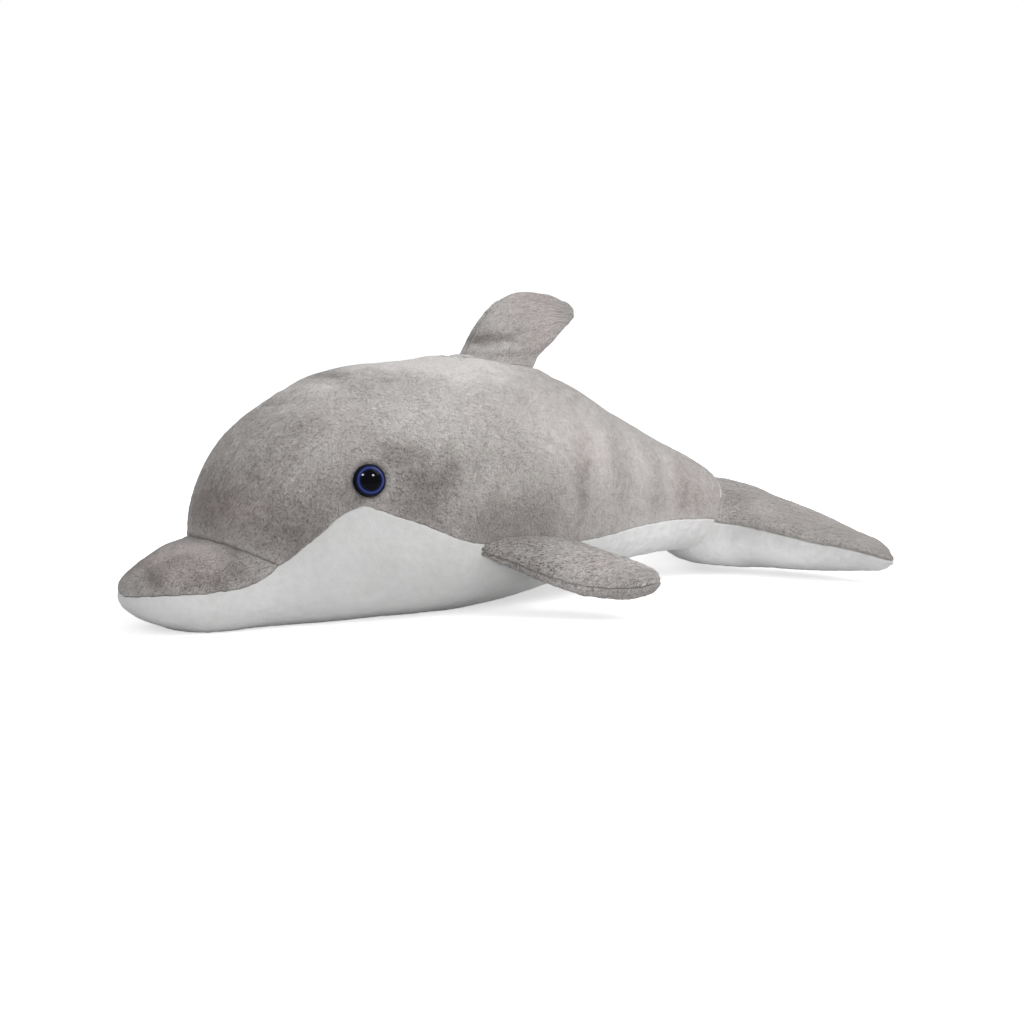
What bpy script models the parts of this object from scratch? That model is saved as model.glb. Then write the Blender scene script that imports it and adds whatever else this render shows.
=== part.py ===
"""Plush dolphin lying on its belly, head towards -X, its left side towards -Y.

The toy is sewn from short-pile plush panels over fibre filling: a grey left and right back
panel that meet along the spine, a grey beak panel, one white belly panel, and separate
pillow-like fins that are stuffed before they are sewn on. Two moulded safety eyes go through
the skin and are held by washers inside. Every form is a loft: a few profile lines drawn along
the body or along a fin, with rounded sections between them.

Units are metres, +Z is up, and the origin is on the floor under the middle of the toy.
"""
import math

import bmesh
import bpy
import numpy as np
from mathutils import Vector

# Driving dimensions of the body
BODY_LENGTH = 0.2735      # beak tip to the tail seam, which lies just under 100 percent
BODY_HEIGHT = 0.0960      # highest point of the back before it settles
BODY_WIDTH = 0.0950       # across the widest part of the belly
SETTLE = 0.0020           # how far the filled belly presses flat against the floor
TOP_ROUNDNESS = 2.15      # section above the widest line, where 2 is an ellipse
BELLY_ROUNDNESS = 2.8     # section below it, which is fuller

# Driving dimensions of the cloth and the filling
SKIN = 0.0025             # plush backing and pile together
SEAM_GAP = 0.0004         # between two panels at a seam
FILL_GAP = 0.0010         # between the skin and the filling
FILL_END = 0.2            # of the last station, how much sooner the filling ends than the skin
ROOT_GAP = 0.0004         # between a fin and the body it is sewn to

# Driving dimensions of the dorsal fin
DORSAL_CHORD = 0.0410     # along the back, at the root row inside the body
DORSAL_HEIGHT = 0.0350    # from that row to the top of the fin
DORSAL_THICKNESS = 0.0180
DORSAL_AT = (50.5, 87.5)  # leading point of the root row, percent of body length and height

# Driving dimensions of a flipper
FLIPPER_LENGTH = 0.0730
FLIPPER_THICKNESS = 0.0130
FLIPPER_AT = (43.0, 71.6, 29.2)  # leading root point, percent of length, half width and height

# Driving dimensions of the fluke
FLUKE_SPAN = 0.1480       # tip to tip
FLUKE_LENGTH = 0.0650     # front of its root to the back of its lobes
FLUKE_THICKNESS = 0.0340
FLUKE_AT = 89.8           # front of the root, percent of body length
FIN_FULLNESS = 0.80       # below 1 a fin's section is fuller than an ellipse
INSET_LIMIT = 0.42        # of a fin's chord, the most that its inside is drawn in from an edge
INSIDE_LEFT = 0.10        # of a pillow's rise or drop, the least that is left inside its skin

# Driving dimensions of the safety eyes
EYE_DIAMETER = 0.0120
EYE_DOME = 0.0042         # height of the dome over its rim
EYE_RIM = 0.0008          # thickness of the rim under the dome
EYE_SEAT_GAP = 0.0003     # under the rim, to the plush
SHANK_DIAMETER = 0.0040
SHANK_LENGTH = 0.0085
WASHER_DIAMETER = 0.0110
WASHER_THICKNESS = 0.0014
WASHER_HUB = 0.0022       # height of the toothed hub that grips the shank
EYE_CLEARANCE = 0.0003    # round the shank, the washer and its pocket
SKIN_BOW = 0.0007         # how far the rounded skin bows inward past a washer's rim
RIM_TAPER = 0.97          # underside of the rim, of its radius
SHANK_FLARE = 1.25        # foot of the shank under the rim, of its radius
SHANK_TIP = 0.70          # blunt end of the shank, of its radius
EYE_AT = (0.3185, 0.590)  # place on the body surface, as the loft measures it

# Profile lines of the body. The first number runs from -1 at the beak tip through 0 at the
# melon seam to 1 at the tail seam. Places are percent of body length, half width and height.
BEAK_TOP = [
    (-1.00, 0.0, 16.0), (-0.93, 0.4, 20.0), (-0.80, 2.0, 23.9), (-0.60, 4.9, 28.5),
    (-0.30, 8.6, 33.7), (0.00, 11.7, 35.3),
]
BACK_TOP = [
    (0.00, 11.7, 35.3), (0.05, 11.8, 43.4), (0.10, 13.1, 56.0), (0.17, 16.1, 71.0),
    (0.24, 20.4, 81.7), (0.32, 26.1, 90.1), (0.40, 31.6, 96.3), (0.47, 38.2, 98.9),
    (0.55, 51.4, 99.6), (0.63, 60.5, 96.1), (0.70, 68.6, 89.0), (0.78, 77.3, 75.6),
    (0.86, 86.1, 63.0), (0.93, 93.3, 53.9), (1.00, 98.8, 44.8),
]
WIDEST = [
    (-1.00, 0.0, 0.0, 16.0), (-0.93, 0.7, 17.9, 16.9), (-0.80, 2.7, 32.6, 17.7),
    (-0.60, 6.0, 43.2, 17.9), (-0.30, 11.2, 52.6, 19.0), (-0.12, 14.6, 58.9, 21.8),
    (0.00, 17.0, 62.1, 27.1), (0.10, 19.9, 69.5, 36.5), (0.24, 25.8, 81.1, 42.7),
    (0.40, 34.2, 94.7, 44.8), (0.55, 49.5, 100.0, 45.8), (0.70, 66.4, 86.3, 41.6),
    (0.86, 82.4, 57.9, 35.4), (0.93, 90.2, 44.2, 31.2), (1.00, 96.4, 33.7, 27.1),
]
UNDERSIDE = [
    (-1.00, 0.0, 16.0), (-0.93, 0.4, 12.4), (-0.80, 2.0, 8.0), (-0.60, 4.9, 3.8),
    (-0.30, 9.7, 0.0), (0.00, 15.5, 0.0), (0.50, 44.0, 0.0), (0.63, 56.9, 3.6),
    (0.70, 64.2, 7.2), (0.78, 73.3, 11.0), (0.86, 81.7, 13.2), (0.93, 88.3, 13.8),
    (1.00, 93.1, 12.6),
]
# Height of the seam between the grey back and the white belly, percent of body height
BELLY_SEAM = [
    (0.000, 27.1), (0.050, 29.4), (0.140, 36.7), (0.230, 45.4), (0.270, 47.8), (0.290, 48.5),
    (0.315, 47.4), (0.350, 45.2), (0.410, 41.0), (0.500, 31.6), (0.600, 27.4), (0.700, 27.7),
    (0.780, 29.6), (0.860, 30.2), (0.930, 28.9), (1.000, 26.8),
]

# Dorsal fin, root to tip: leading point, trailing point (percent of chord and height), then
# percent of the thickness
DORSAL_ROWS = [
    (0, 0.0, 0.0, 91.0, 0.0, 100), (1, 19.5, 34.3, 98.0, 24.3, 94),
    (2, 37.8, 67.1, 119.5, 42.9, 89), (3, 59.8, 90.0, 134.1, 57.1, 72),
    (4, 89.0, 100.0, 143.9, 68.6, 50), (5, 115.9, 97.1, 146.3, 78.6, 28),
    (6, 133.0, 91.4, 145.0, 84.3, 12),
]
# Flipper, root to tip: leading point and trailing point (back, out and down, percent of its
# length), then the rise and the drop of the pillow (percent of its thickness)
FLIPPER_ROWS = [
    (0, -6.0, 0.0, 1.0, 50.0, -3.0, 2.5, 26, 22), (1, 5.0, 15.0, 4.5, 57.5, 12.3, 5.5, 34, 30),
    (2, 19.0, 26.0, 11.0, 66.0, 23.3, 8.0, 42, 42), (3, 32.0, 37.0, 16.7, 73.0, 32.9, 11.0, 42, 52),
    (4, 43.0, 49.3, 20.4, 79.0, 43.8, 14.2, 40, 56), (5, 53.4, 61.0, 21.6, 82.9, 54.8, 16.8, 37, 52),
    (6, 63.0, 69.9, 21.2, 82.4, 64.4, 18.0, 30, 40), (7, 71.0, 73.3, 19.8, 79.6, 70.5, 18.5, 18, 20),
]
# Fluke, middle to tip: out (percent of half span), leading and trailing edge (percent of its
# length), height of the edge seam, rise and drop of the pillow (percent of its thickness)
FLUKE_ROWS = [
    (0.0, 0.0, 75.0, 73.0, 38.0, 64.0), (10.8, 3.0, 81.0, 72.0, 37.0, 63.5),
    (18.9, 13.8, 86.0, 69.5, 34.0, 62.0), (27.0, 29.2, 90.0, 66.0, 31.0, 58.5),
    (47.3, 43.1, 96.5, 57.5, 23.0, 49.5), (67.6, 59.2, 99.2, 47.5, 17.5, 37.5),
    (83.8, 73.8, 100.0, 40.0, 15.0, 27.5), (94.6, 83.8, 96.9, 33.5, 11.0, 17.0),
    (99.3, 89.2, 93.8, 30.0, 6.0, 7.0),
]

# Faces of the lofts
BEAK_STATIONS = [-1.0, -0.965, -0.93, -0.865, -0.8, -0.7, -0.6, -0.45, -0.3, -0.2, -0.1, 0.0]
BACK_STEPS = 30
BACK_ACROSS = 9
BELLY_ACROSS = 10
BEAK_ACROSS = 12
FILL_AROUND = 20
ENVELOPE_AROUND = 48      # finer than the panels, so that its flats don't cut into their gap
DORSAL_STEPS = 10
FLIPPER_STEPS = 12
FLUKE_STEPS = 11          # from the middle to one tip
FIN_ACROSS = 7
EYE_SEGMENTS = 20
SLOPE_STEP = 0.002        # step along the loft with which its slope is measured
MITRE_LIMIT = 0.25        # least squared length of two normals' mean where a mitre is taken
ENVELOPE_TAPER = 0.98     # of the envelope's closing ring, so that it lies inside the ring before
TINY = 1e-6

GREY = (0.372, 0.338, 0.312)
WHITE = (0.660, 0.674, 0.678)
FIBRE = (0.800, 0.800, 0.780)
EYE_BLUE = (0.012, 0.020, 0.060)
NYLON = (0.700, 0.700, 0.690)


def clear_scene():
    """Remove what the start-up file holds."""
    for item in list(bpy.data.objects):
        bpy.data.objects.remove(item, do_unlink=True)


def new_collection(name):
    group = bpy.data.collections.new(name)
    bpy.context.scene.collection.children.link(group)
    return group


def new_material(name, colour, roughness):
    """A plain Principled material."""
    material = bpy.data.materials.new(name)
    material.use_nodes = True
    shader = material.node_tree.nodes["Principled BSDF"]
    shader.inputs["Base Color"].default_value = (*colour, 1.0)
    shader.inputs["Roughness"].default_value = roughness
    shader.inputs["Metallic"].default_value = 0.0
    material.diffuse_color = (*colour, 1.0)
    return material


def smooth_curve(rows, at):
    """Values at the given places, on a smooth curve through rows that never overshoots."""
    rows = np.array(rows, float)
    knots, values = rows[:, 0], rows[:, 1:]
    width = np.diff(knots)[:, None]
    slope = np.diff(values, axis=0) / width
    before, after = slope[:-1], slope[1:]
    same_way = before * after > 0.0
    weight_before = 2.0 * width[1:] + width[:-1]
    weight_after = width[1:] + 2.0 * width[:-1]
    safe_before = np.where(same_way, before, 1.0)
    safe_after = np.where(same_way, after, 1.0)
    mean = (weight_before + weight_after) / (weight_before / safe_before + weight_after / safe_after)
    tangent = np.vstack([slope[:1], np.where(same_way, mean, 0.0), slope[-1:]])
    at = np.asarray(at, float)
    index = np.clip(np.searchsorted(knots, at, side="right") - 1, 0, len(knots) - 2)
    step = width[index]
    t = (at[..., None] - knots[index][..., None]) / step
    return (
        (2 * t**3 - 3 * t**2 + 1) * values[index]
        + (t**3 - 2 * t**2 + t) * step * tangent[index]
        + (3 * t**2 - 2 * t**3) * values[index + 1]
        + (t**3 - t**2) * step * tangent[index + 1]
    )


def profile_lines(station, beak):
    """Top, widest and bottom line of the body at a station, in metres from the beak tip."""
    top_rows = BEAK_TOP if beak else BACK_TOP
    top = smooth_curve(top_rows, station) / 100 * (BODY_LENGTH, BODY_HEIGHT)
    side = smooth_curve(WIDEST, station) / 100 * (BODY_LENGTH, BODY_WIDTH / 2, BODY_HEIGHT)
    bottom = smooth_curve(UNDERSIDE, station) / 100 * (BODY_LENGTH, BODY_HEIGHT)
    return top, side, bottom


def body_middle():
    """Distance from the beak tip to the middle of the toy, where the origin is."""
    fluke_back = max(row[2] for row in FLUKE_ROWS) / 100 * FLUKE_LENGTH
    return (FLUKE_AT / 100 * BODY_LENGTH + fluke_back) / 2


def body_surface(station, turn, beak=False):
    """Points of the body. turn is 0 under the belly, 0.5 at the left flank, 1 on the spine."""
    top, side, bottom = profile_lines(station, beak)
    angle = np.pi * np.asarray(turn, float)
    below = np.cos(angle) >= 0.0
    power = 2.0 / np.where(below, BELLY_ROUNDNESS, TOP_ROUNDNESS)
    rise = np.abs(np.cos(angle)) ** power
    reach = np.sign(np.sin(angle)) * np.abs(np.sin(angle)) ** power
    end_x = np.where(below, bottom[..., 0], top[..., 0])
    end_z = np.where(below, bottom[..., 1], top[..., 1])
    x = end_x + (side[..., 0] - end_x) * (1.0 - rise) - body_middle()
    y = -side[..., 1] * reach
    z = side[..., 2] + (end_z - side[..., 2]) * rise
    return np.stack([x, y, np.maximum(z - SETTLE, 0.0)], axis=-1)


def body_normals(station, turn, beak=False):
    """Outward directions at those points, shared by the panels on both sides of a seam."""
    first, last = (-1.0, 0.0) if beak else (0.0, 1.0)
    fore = np.clip(station - SLOPE_STEP, first, last)
    aft = np.clip(station + SLOPE_STEP, first, last)
    along = body_surface(aft, turn, beak) - body_surface(fore, turn, beak)
    right = body_surface(station, turn - SLOPE_STEP, beak)
    left = body_surface(station, turn + SLOPE_STEP, beak)
    normal = np.cross(along, left - right)
    length = np.linalg.norm(normal, axis=-1, keepdims=True)
    return np.where(length > TINY**2, normal / np.maximum(length, TINY**2), (-1.0, 0.0, 0.0))


def seam_turn(station):
    """Where the seam between back and belly runs, as a turn of the section."""
    _, side, bottom = profile_lines(station, False)
    top = smooth_curve(BACK_TOP, np.maximum(station, 0.0))[..., 1] / 100 * BODY_HEIGHT
    height = smooth_curve(BELLY_SEAM, np.maximum(station, 0.0))[..., 0] / 100 * BODY_HEIGHT
    height = np.where(station <= 0.0, side[..., 2], height)
    below = height <= side[..., 2]
    end = np.where(below, bottom[..., 1], top)
    power = np.where(below, BELLY_ROUNDNESS, TOP_ROUNDNESS) / 2.0
    reach = end - side[..., 2]
    share = (height - side[..., 2]) / np.where(below, np.minimum(reach, -TINY), reach)
    angle = np.arccos(np.clip(share, 0.0, 1.0) ** power)
    return np.where(below, angle, np.pi - angle) / np.pi


def body_patch(stations, low, high, across, beak=False):
    """Outer and inner grid of one panel between two turns, both given for each station."""
    share = np.linspace(0.0, 1.0, across + 1)
    turn = low[:, None] + (high - low)[:, None] * share
    station = np.repeat(stations[:, None], across + 1, axis=1)
    outer = body_surface(station, turn, beak)
    inner = outer - SKIN * body_normals(station, turn, beak)
    return outer, inner


def pull_in(outer, inner, edges):
    """Draw the named edges of a panel back by half a seam gap, its thickness included."""
    for grid in (outer, inner):
        for edge in edges:
            rows = grid if edge in ("first_station", "last_station") else grid.transpose(1, 0, 2)
            border, beside = (0, 1) if edge.startswith("first") else (-1, -2)
            inward = rows[beside] - rows[border]
            inward /= np.maximum(np.linalg.norm(inward, axis=-1, keepdims=True), TINY)
            rows[border] = rows[border] + inward * SEAM_GAP / 2


def pull_in_tip(outer, inner):
    """Bring the first station of a panel, which is the beak tip, to one point off the seam."""
    middle = outer.shape[1] // 2
    for grid in (outer, inner):
        tip = grid[0].mean(axis=0)
        inward = grid[1, middle] - tip
        grid[0] = tip + inward / np.linalg.norm(inward) * SEAM_GAP / 2


def add_triangles(shape, grid, flip):
    """Fill a grid of vertices with triangles."""
    for i in range(len(grid) - 1):
        for j in range(len(grid[0]) - 1):
            a, b, c, d = grid[i][j], grid[i + 1][j], grid[i + 1][j + 1], grid[i][j + 1]
            for corners in ((a, b, c), (a, c, d)):
                if len(set(corners)) == 3:
                    shape.faces.new(reversed(corners) if flip else corners)


def finish_object(name, shape, material, group, smooth=True):
    """Weld a bmesh, turn its faces outward and put it in a collection as an object."""
    bmesh.ops.remove_doubles(shape, verts=shape.verts, dist=TINY)
    bmesh.ops.recalc_face_normals(shape, faces=shape.faces)
    mesh = bpy.data.meshes.new(name)
    shape.to_mesh(mesh)
    shape.free()
    if material:
        mesh.materials.append(material)
    if smooth:
        mesh.shade_smooth()
        mesh.set_sharp_from_angle(angle=math.radians(40))
    result = bpy.data.objects.new(name, mesh)
    group.objects.link(result)
    return result


def add_shell(name, outer, inner, material, group):
    """A panel with thickness: an outer grid, an inner grid and the rim between them."""
    shape = bmesh.new()
    vertex = shape.verts.new
    outside = [[vertex(point) for point in row] for row in outer]
    inside = [[vertex(point) for point in row] for row in inner]
    add_triangles(shape, outside, False)
    add_triangles(shape, inside, True)
    for border in (0, -1):
        add_triangles(shape, [outside[border], inside[border]], False)
        add_triangles(shape, [[row[border] for row in outside], [row[border] for row in inside]], True)
    return finish_object(name, shape, material, group)


def add_loft(name, rings, material, group, smooth=True):
    """A closed body through closed rings, with both ends filled from their centres."""
    shape = bmesh.new()
    loops = [[shape.verts.new(point) for point in ring] for ring in rings]
    for loop in loops:
        loop.append(loop[0])
    add_triangles(shape, loops, False)
    for loop, ring in ((loops[0], rings[0]), (loops[-1], rings[-1])):
        centre = shape.verts.new(ring.mean(axis=0))
        for first, second in zip(loop[:-1], loop[1:]):
            shape.faces.new((first, second, centre))
    return finish_object(name, shape, material, group, smooth)


def cut(target, cutter):
    """Boolean difference of a body and a cutter."""
    modifier = target.modifiers.new(cutter.name, "BOOLEAN")
    modifier.operation = "DIFFERENCE"
    modifier.solver = "EXACT"
    modifier.object = cutter


def make_cutter(item):
    """Show an object only as the outline of a cutter."""
    item.display_type = "WIRE"
    item.hide_render = True
    return item


def body_rings(offset, around):
    """Rings round the whole body, moved outward by an offset, for the filling and cutters."""
    turn = np.linspace(-1.0, 1.0, around, endpoint=False)
    rings = []
    beak = np.array(BEAK_STATIONS)
    back = np.linspace(0.0, 1.0, BACK_STEPS + 1)
    for station, on_beak in [(s, True) for s in beak] + [(s, False) for s in back[1:]]:
        here = np.full(len(turn), station)
        normal = body_normals(here, turn, on_beak)
        if station == 0.0:
            other = body_normals(here, turn, False)
            mean = (normal + other) / 2
            normal = mean / np.maximum((mean**2).sum(axis=-1, keepdims=True), MITRE_LIMIT)
        rings.append(body_surface(here, turn, on_beak) + offset * normal)
    return rings


def add_body_filling(group, material):
    """The fibre filling of head and body in one piece, a skin's thickness inside."""
    rings = body_rings(-(SKIN + FILL_GAP), FILL_AROUND)
    tail = rings[-1]
    rings[-1] = tail + (rings[-2] - tail) * FILL_END
    return add_loft("body_stuffing", rings, material, group)


def add_body_envelope(group):
    """The outside of the body, grown by the gap that a sewn-on fin keeps to it."""
    rings = body_rings(ROOT_GAP, ENVELOPE_AROUND)
    last = rings[-1]
    behind = last + np.array([ROOT_GAP, 0.0, 0.0])
    centre = behind.mean(axis=0)
    rings.append(centre + (behind - centre) * ENVELOPE_TAPER)
    return make_cutter(add_loft("body_envelope", rings, None, group, smooth=False))


def add_body_panels(group, grey, white):
    """Left and right back panel, beak panel and belly panel."""
    back = np.linspace(0.0, 1.0, BACK_STEPS + 1)
    beak = np.array(BEAK_STATIONS)
    whole = np.concatenate([beak, back[1:]])
    panels = {}
    for side, name in ((1, "back_left_panel"), (-1, "back_right_panel")):
        outer, inner = body_patch(back, seam_turn(back), np.ones(len(back)), BACK_ACROSS)
        pull_in(outer, inner, ("first_station", "first_turn", "last_turn"))
        flip = np.array([1.0, side, 1.0])
        panels[name] = add_shell(name, outer * flip, inner * flip, grey, group)

    flank = np.full(len(beak), 0.5)
    outer, inner = body_patch(beak, flank, 2.0 - flank, BEAK_ACROSS, beak=True)
    pull_in(outer, inner, ("last_station", "first_turn", "last_turn"))
    pull_in_tip(outer, inner)
    panels["beak_panel"] = add_shell("beak_panel", outer, inner, grey, group)

    edge = seam_turn(whole)
    outer, inner = body_patch(whole, -edge, edge, BELLY_ACROSS)
    front = edge[:len(beak)]
    front_outer, front_inner = body_patch(beak, -front, front, BELLY_ACROSS, beak=True)
    outer[:len(beak)], inner[:len(beak)] = front_outer, front_inner
    pull_in(outer, inner, ("first_turn", "last_turn"))
    pull_in_tip(outer, inner)
    panels["belly_panel"] = add_shell("belly_panel", outer, inner, white, group)
    return panels


def pillow(lead, trail, up, rise, drop, angle):
    """Rows of a stuffed fin between its leading and its trailing edge seam."""
    middle, half = (lead + trail) / 2, (trail - lead) / 2
    sine = np.sin(angle)
    height = np.where(sine >= 0.0, rise[:, None], drop[:, None])
    height = height * np.sign(sine) * np.abs(sine) ** FIN_FULLNESS
    flat = middle[:, None] - half[:, None] * np.cos(angle)[None, :, None]
    return flat + up[:, None] * height[..., None]


def inset_pillow(lead, trail, rise, drop, depth):
    """The same rows a depth further inside, never past their own middle."""
    chord = trail - lead
    length = np.linalg.norm(chord, axis=-1, keepdims=True)
    shift = chord / length * np.minimum(depth, INSET_LIMIT * length)
    deep_rise = np.maximum(rise - depth, rise * INSIDE_LEFT)
    deep_drop = np.maximum(drop - depth, drop * INSIDE_LEFT)
    return lead + shift, trail - shift, deep_rise, deep_drop


def add_fin(names, rows, envelope, group, materials):
    """Two panels and the filling of one fin, each cut off where the body begins.

    rows holds the leading points, the trailing points, the directions of the rise, the rise
    and the drop. names and materials are for the upper panel, the lower panel and the filling.
    """
    lead, trail, up, rise, drop = rows
    deep_lead, deep_trail, deep_rise, deep_drop = inset_pillow(lead, trail, rise, drop, SKIN)
    pieces = []
    for sign, name, material in ((1, names[0], materials[0]), (-1, names[1], materials[1])):
        angle = np.linspace(0.0, sign * np.pi, FIN_ACROSS + 1)
        lift = (sign * SEAM_GAP / 2 * up)[:, None]
        outer = pillow(lead, trail, up, rise, drop, angle) + lift
        inner = pillow(deep_lead, deep_trail, up, deep_rise, deep_drop, angle) + lift
        pieces.append(add_shell(name, outer, inner, material, group))

    depth = SKIN + FILL_GAP
    deep_lead, deep_trail, deep_rise, deep_drop = inset_pillow(lead, trail, rise, drop, depth)
    thick = (deep_rise + deep_drop) > SKIN / 2
    angle = np.linspace(0.0, 2 * np.pi, 2 * FIN_ACROSS - 2, endpoint=False)
    fill = pillow(deep_lead, deep_trail, up, deep_rise, deep_drop, angle)[thick]
    pieces.append(add_loft(names[2], list(fill), materials[2], group))
    for piece in pieces:
        cut(piece, envelope)
    return pieces


def dorsal_rows():
    """Rows of the dorsal fin. Its rise is towards the left side."""
    row = smooth_curve(DORSAL_ROWS, np.linspace(0, len(DORSAL_ROWS) - 1, DORSAL_STEPS + 1))
    start = np.array([
        DORSAL_AT[0] / 100 * BODY_LENGTH - body_middle(), 0.0, DORSAL_AT[1] / 100 * BODY_HEIGHT,
    ])
    flat = np.zeros(len(row))
    scale = np.array([DORSAL_CHORD, 1.0, DORSAL_HEIGHT]) / 100
    lead = start + np.stack([row[:, 0], flat, row[:, 1]], axis=1) * scale
    trail = start + np.stack([row[:, 2], flat, row[:, 3]], axis=1) * scale
    up = np.tile((0.0, -1.0, 0.0), (len(row), 1))
    half = row[:, 4] / 100 * DORSAL_THICKNESS / 2
    return lead, trail, up, half, half


def flipper_rows(side):
    """Rows of a flipper. side is -1 for the left one and 1 for the right one."""
    row = smooth_curve(FLIPPER_ROWS, np.linspace(0, len(FLIPPER_ROWS) - 1, FLIPPER_STEPS + 1))
    start = np.array([
        FLIPPER_AT[0] / 100 * BODY_LENGTH - body_middle(),
        side * FLIPPER_AT[1] / 100 * BODY_WIDTH / 2,
        FLIPPER_AT[2] / 100 * BODY_HEIGHT,
    ])
    direction = np.array([1.0, side, -1.0]) * FLIPPER_LENGTH / 100
    lead = start + row[:, 0:3] * direction
    trail = start + row[:, 3:6] * direction
    span = np.gradient((lead + trail) / 2, axis=0)
    up = np.cross(trail - lead, span) * side
    up /= np.linalg.norm(up, axis=1, keepdims=True)
    return lead, trail, up, row[:, 6] / 100 * FLIPPER_THICKNESS, row[:, 7] / 100 * FLIPPER_THICKNESS


def fluke_rows():
    """Rows of the fluke from its left tip to its right tip."""
    half_span = FLUKE_SPAN / 2
    outmost = FLUKE_ROWS[-1][0]
    out = np.linspace(-outmost, outmost, 2 * FLUKE_STEPS + 1)
    row = smooth_curve(FLUKE_ROWS, np.abs(out)) / 100
    start = FLUKE_AT / 100 * BODY_LENGTH - body_middle()
    height = row[:, 2] * FLUKE_THICKNESS
    y = out / 100 * half_span
    lead = np.stack([start + row[:, 0] * FLUKE_LENGTH, y, height], axis=1)
    trail = np.stack([start + row[:, 1] * FLUKE_LENGTH, y, height], axis=1)
    up = np.tile((0.0, 0.0, 1.0), (len(row), 1))
    return lead, trail, up, row[:, 3] * FLUKE_THICKNESS, row[:, 4] * FLUKE_THICKNESS


def add_turned(name, profile, closed, material, group):
    """A turned piece: an outline of radius and height, spun round Z."""
    mesh = bpy.data.meshes.new(name)
    points = [(radius, 0.0, height) for radius, height in profile]
    edges = [(i, i + 1) for i in range(len(points) - 1)]
    if closed:
        edges.append((len(points) - 1, 0))
    mesh.from_pydata(points, edges, [])
    if material:
        mesh.materials.append(material)
    result = bpy.data.objects.new(name, mesh)
    group.objects.link(result)
    screw = result.modifiers.new("turn", "SCREW")
    screw.axis = "Z"
    screw.steps = EYE_SEGMENTS
    screw.render_steps = EYE_SEGMENTS
    screw.use_merge_vertices = True
    screw.merge_threshold = 0.00001
    return result


def eye_profile():
    """Outline of a safety eye from the top of its dome to the end of its shank."""
    radius, shank = EYE_DIAMETER / 2, SHANK_DIAMETER / 2
    dome = [
        (radius * math.sin(angle), EYE_RIM + EYE_DOME * math.cos(angle))
        for angle in (math.radians(a) for a in range(0, 91, 15))
    ]
    tip, flare = shank * SHANK_TIP, shank * SHANK_FLARE
    return dome + [
        (radius * RIM_TAPER, 0.0), (flare, 0.0), (shank, shank - flare),
        (shank, -SHANK_LENGTH + tip / 2), (tip, -SHANK_LENGTH), (0.0, -SHANK_LENGTH),
    ]


def washer_profile():
    """Outline of the dished washer that is pushed on the shank from inside."""
    bore = SHANK_DIAMETER / 2 + EYE_CLEARANCE
    hub = bore + WASHER_THICKNESS
    return [
        (hub, 0.0), (WASHER_DIAMETER / 2, 0.0), (WASHER_DIAMETER / 2, -WASHER_THICKNESS),
        (hub, -WASHER_THICKNESS), (hub - WASHER_THICKNESS / 2, -WASHER_HUB), (bore, -WASHER_HUB),
        (bore, 0.0),
    ]


def add_eye(side, name, group, cutters, materials, panel, filling):
    """One safety eye on the flank with its washer, the hole in the skin and the pocket."""
    station, turn = np.array([EYE_AT[0]]), np.array([EYE_AT[1]])
    mirror = np.array([1.0, -side, 1.0])
    spot = Vector((body_surface(station, turn)[0] * mirror).tolist())
    outward = Vector((body_normals(station, turn)[0] * mirror).tolist()).normalized()
    turned_to = outward.to_track_quat("Z", "X").to_euler()

    eye = add_turned(name, eye_profile(), False, materials[0], group)
    eye.location = spot + outward * EYE_SEAT_GAP
    washer = add_turned(name.replace("eye", "eye_washer"), washer_profile(), True, materials[1], group)
    seat = SKIN + SKIN_BOW + EYE_CLEARANCE
    washer.location = spot - outward * seat

    hole_radius = SHANK_DIAMETER / 2 + EYE_CLEARANCE
    pocket_radius = WASHER_DIAMETER / 2 + EYE_CLEARANCE
    pocket_floor = max(SHANK_LENGTH, seat + WASHER_HUB) + EYE_CLEARANCE
    hole = [(0.0, SKIN), (hole_radius, SKIN), (hole_radius, -2 * SKIN), (0.0, -2 * SKIN)]
    pocket = [
        (0.0, 0.0), (pocket_radius, 0.0), (pocket_radius, -pocket_floor), (0.0, -pocket_floor),
    ]
    for label, outline, target in (("hole", hole, panel), ("pocket", pocket, filling)):
        cutter = make_cutter(add_turned(f"{name}_{label}", outline, False, None, cutters))
        cutter.location = spot
        cutter.rotation_euler = turned_to
        cut(target, cutter)
    eye.rotation_euler = turned_to
    washer.rotation_euler = turned_to


def build():
    clear_scene()
    parts = new_collection("plush_dolphin")
    cutters = new_collection("cutters")
    grey = new_material("grey_plush", GREY, 0.95)
    white = new_material("white_plush", WHITE, 0.95)
    fibre = new_material("fibre_filling", FIBRE, 1.0)
    eye_plastic = new_material("eye_plastic", EYE_BLUE, 0.12)
    nylon = new_material("washer_nylon", NYLON, 0.45)

    envelope = add_body_envelope(cutters)
    panels = add_body_panels(parts, grey, white)
    filling = add_body_filling(parts, fibre)

    names = ("dorsal_fin_left_panel", "dorsal_fin_right_panel", "dorsal_fin_stuffing")
    add_fin(names, dorsal_rows(), envelope, parts, (grey, grey, fibre))
    for side, fin in ((-1, "flipper_left"), (1, "flipper_right")):
        names = (f"{fin}_top_panel", f"{fin}_bottom_panel", f"{fin}_stuffing")
        add_fin(names, flipper_rows(side), envelope, parts, (grey, grey, fibre))
    names = ("fluke_top_panel", "fluke_bottom_panel", "fluke_stuffing")
    add_fin(names, fluke_rows(), envelope, parts, (grey, white, fibre))

    eye_materials = (eye_plastic, nylon)
    add_eye(-1, "eye_left", parts, cutters, eye_materials, panels["back_left_panel"], filling)
    add_eye(1, "eye_right", parts, cutters, eye_materials, panels["back_right_panel"], filling)


build()
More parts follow.
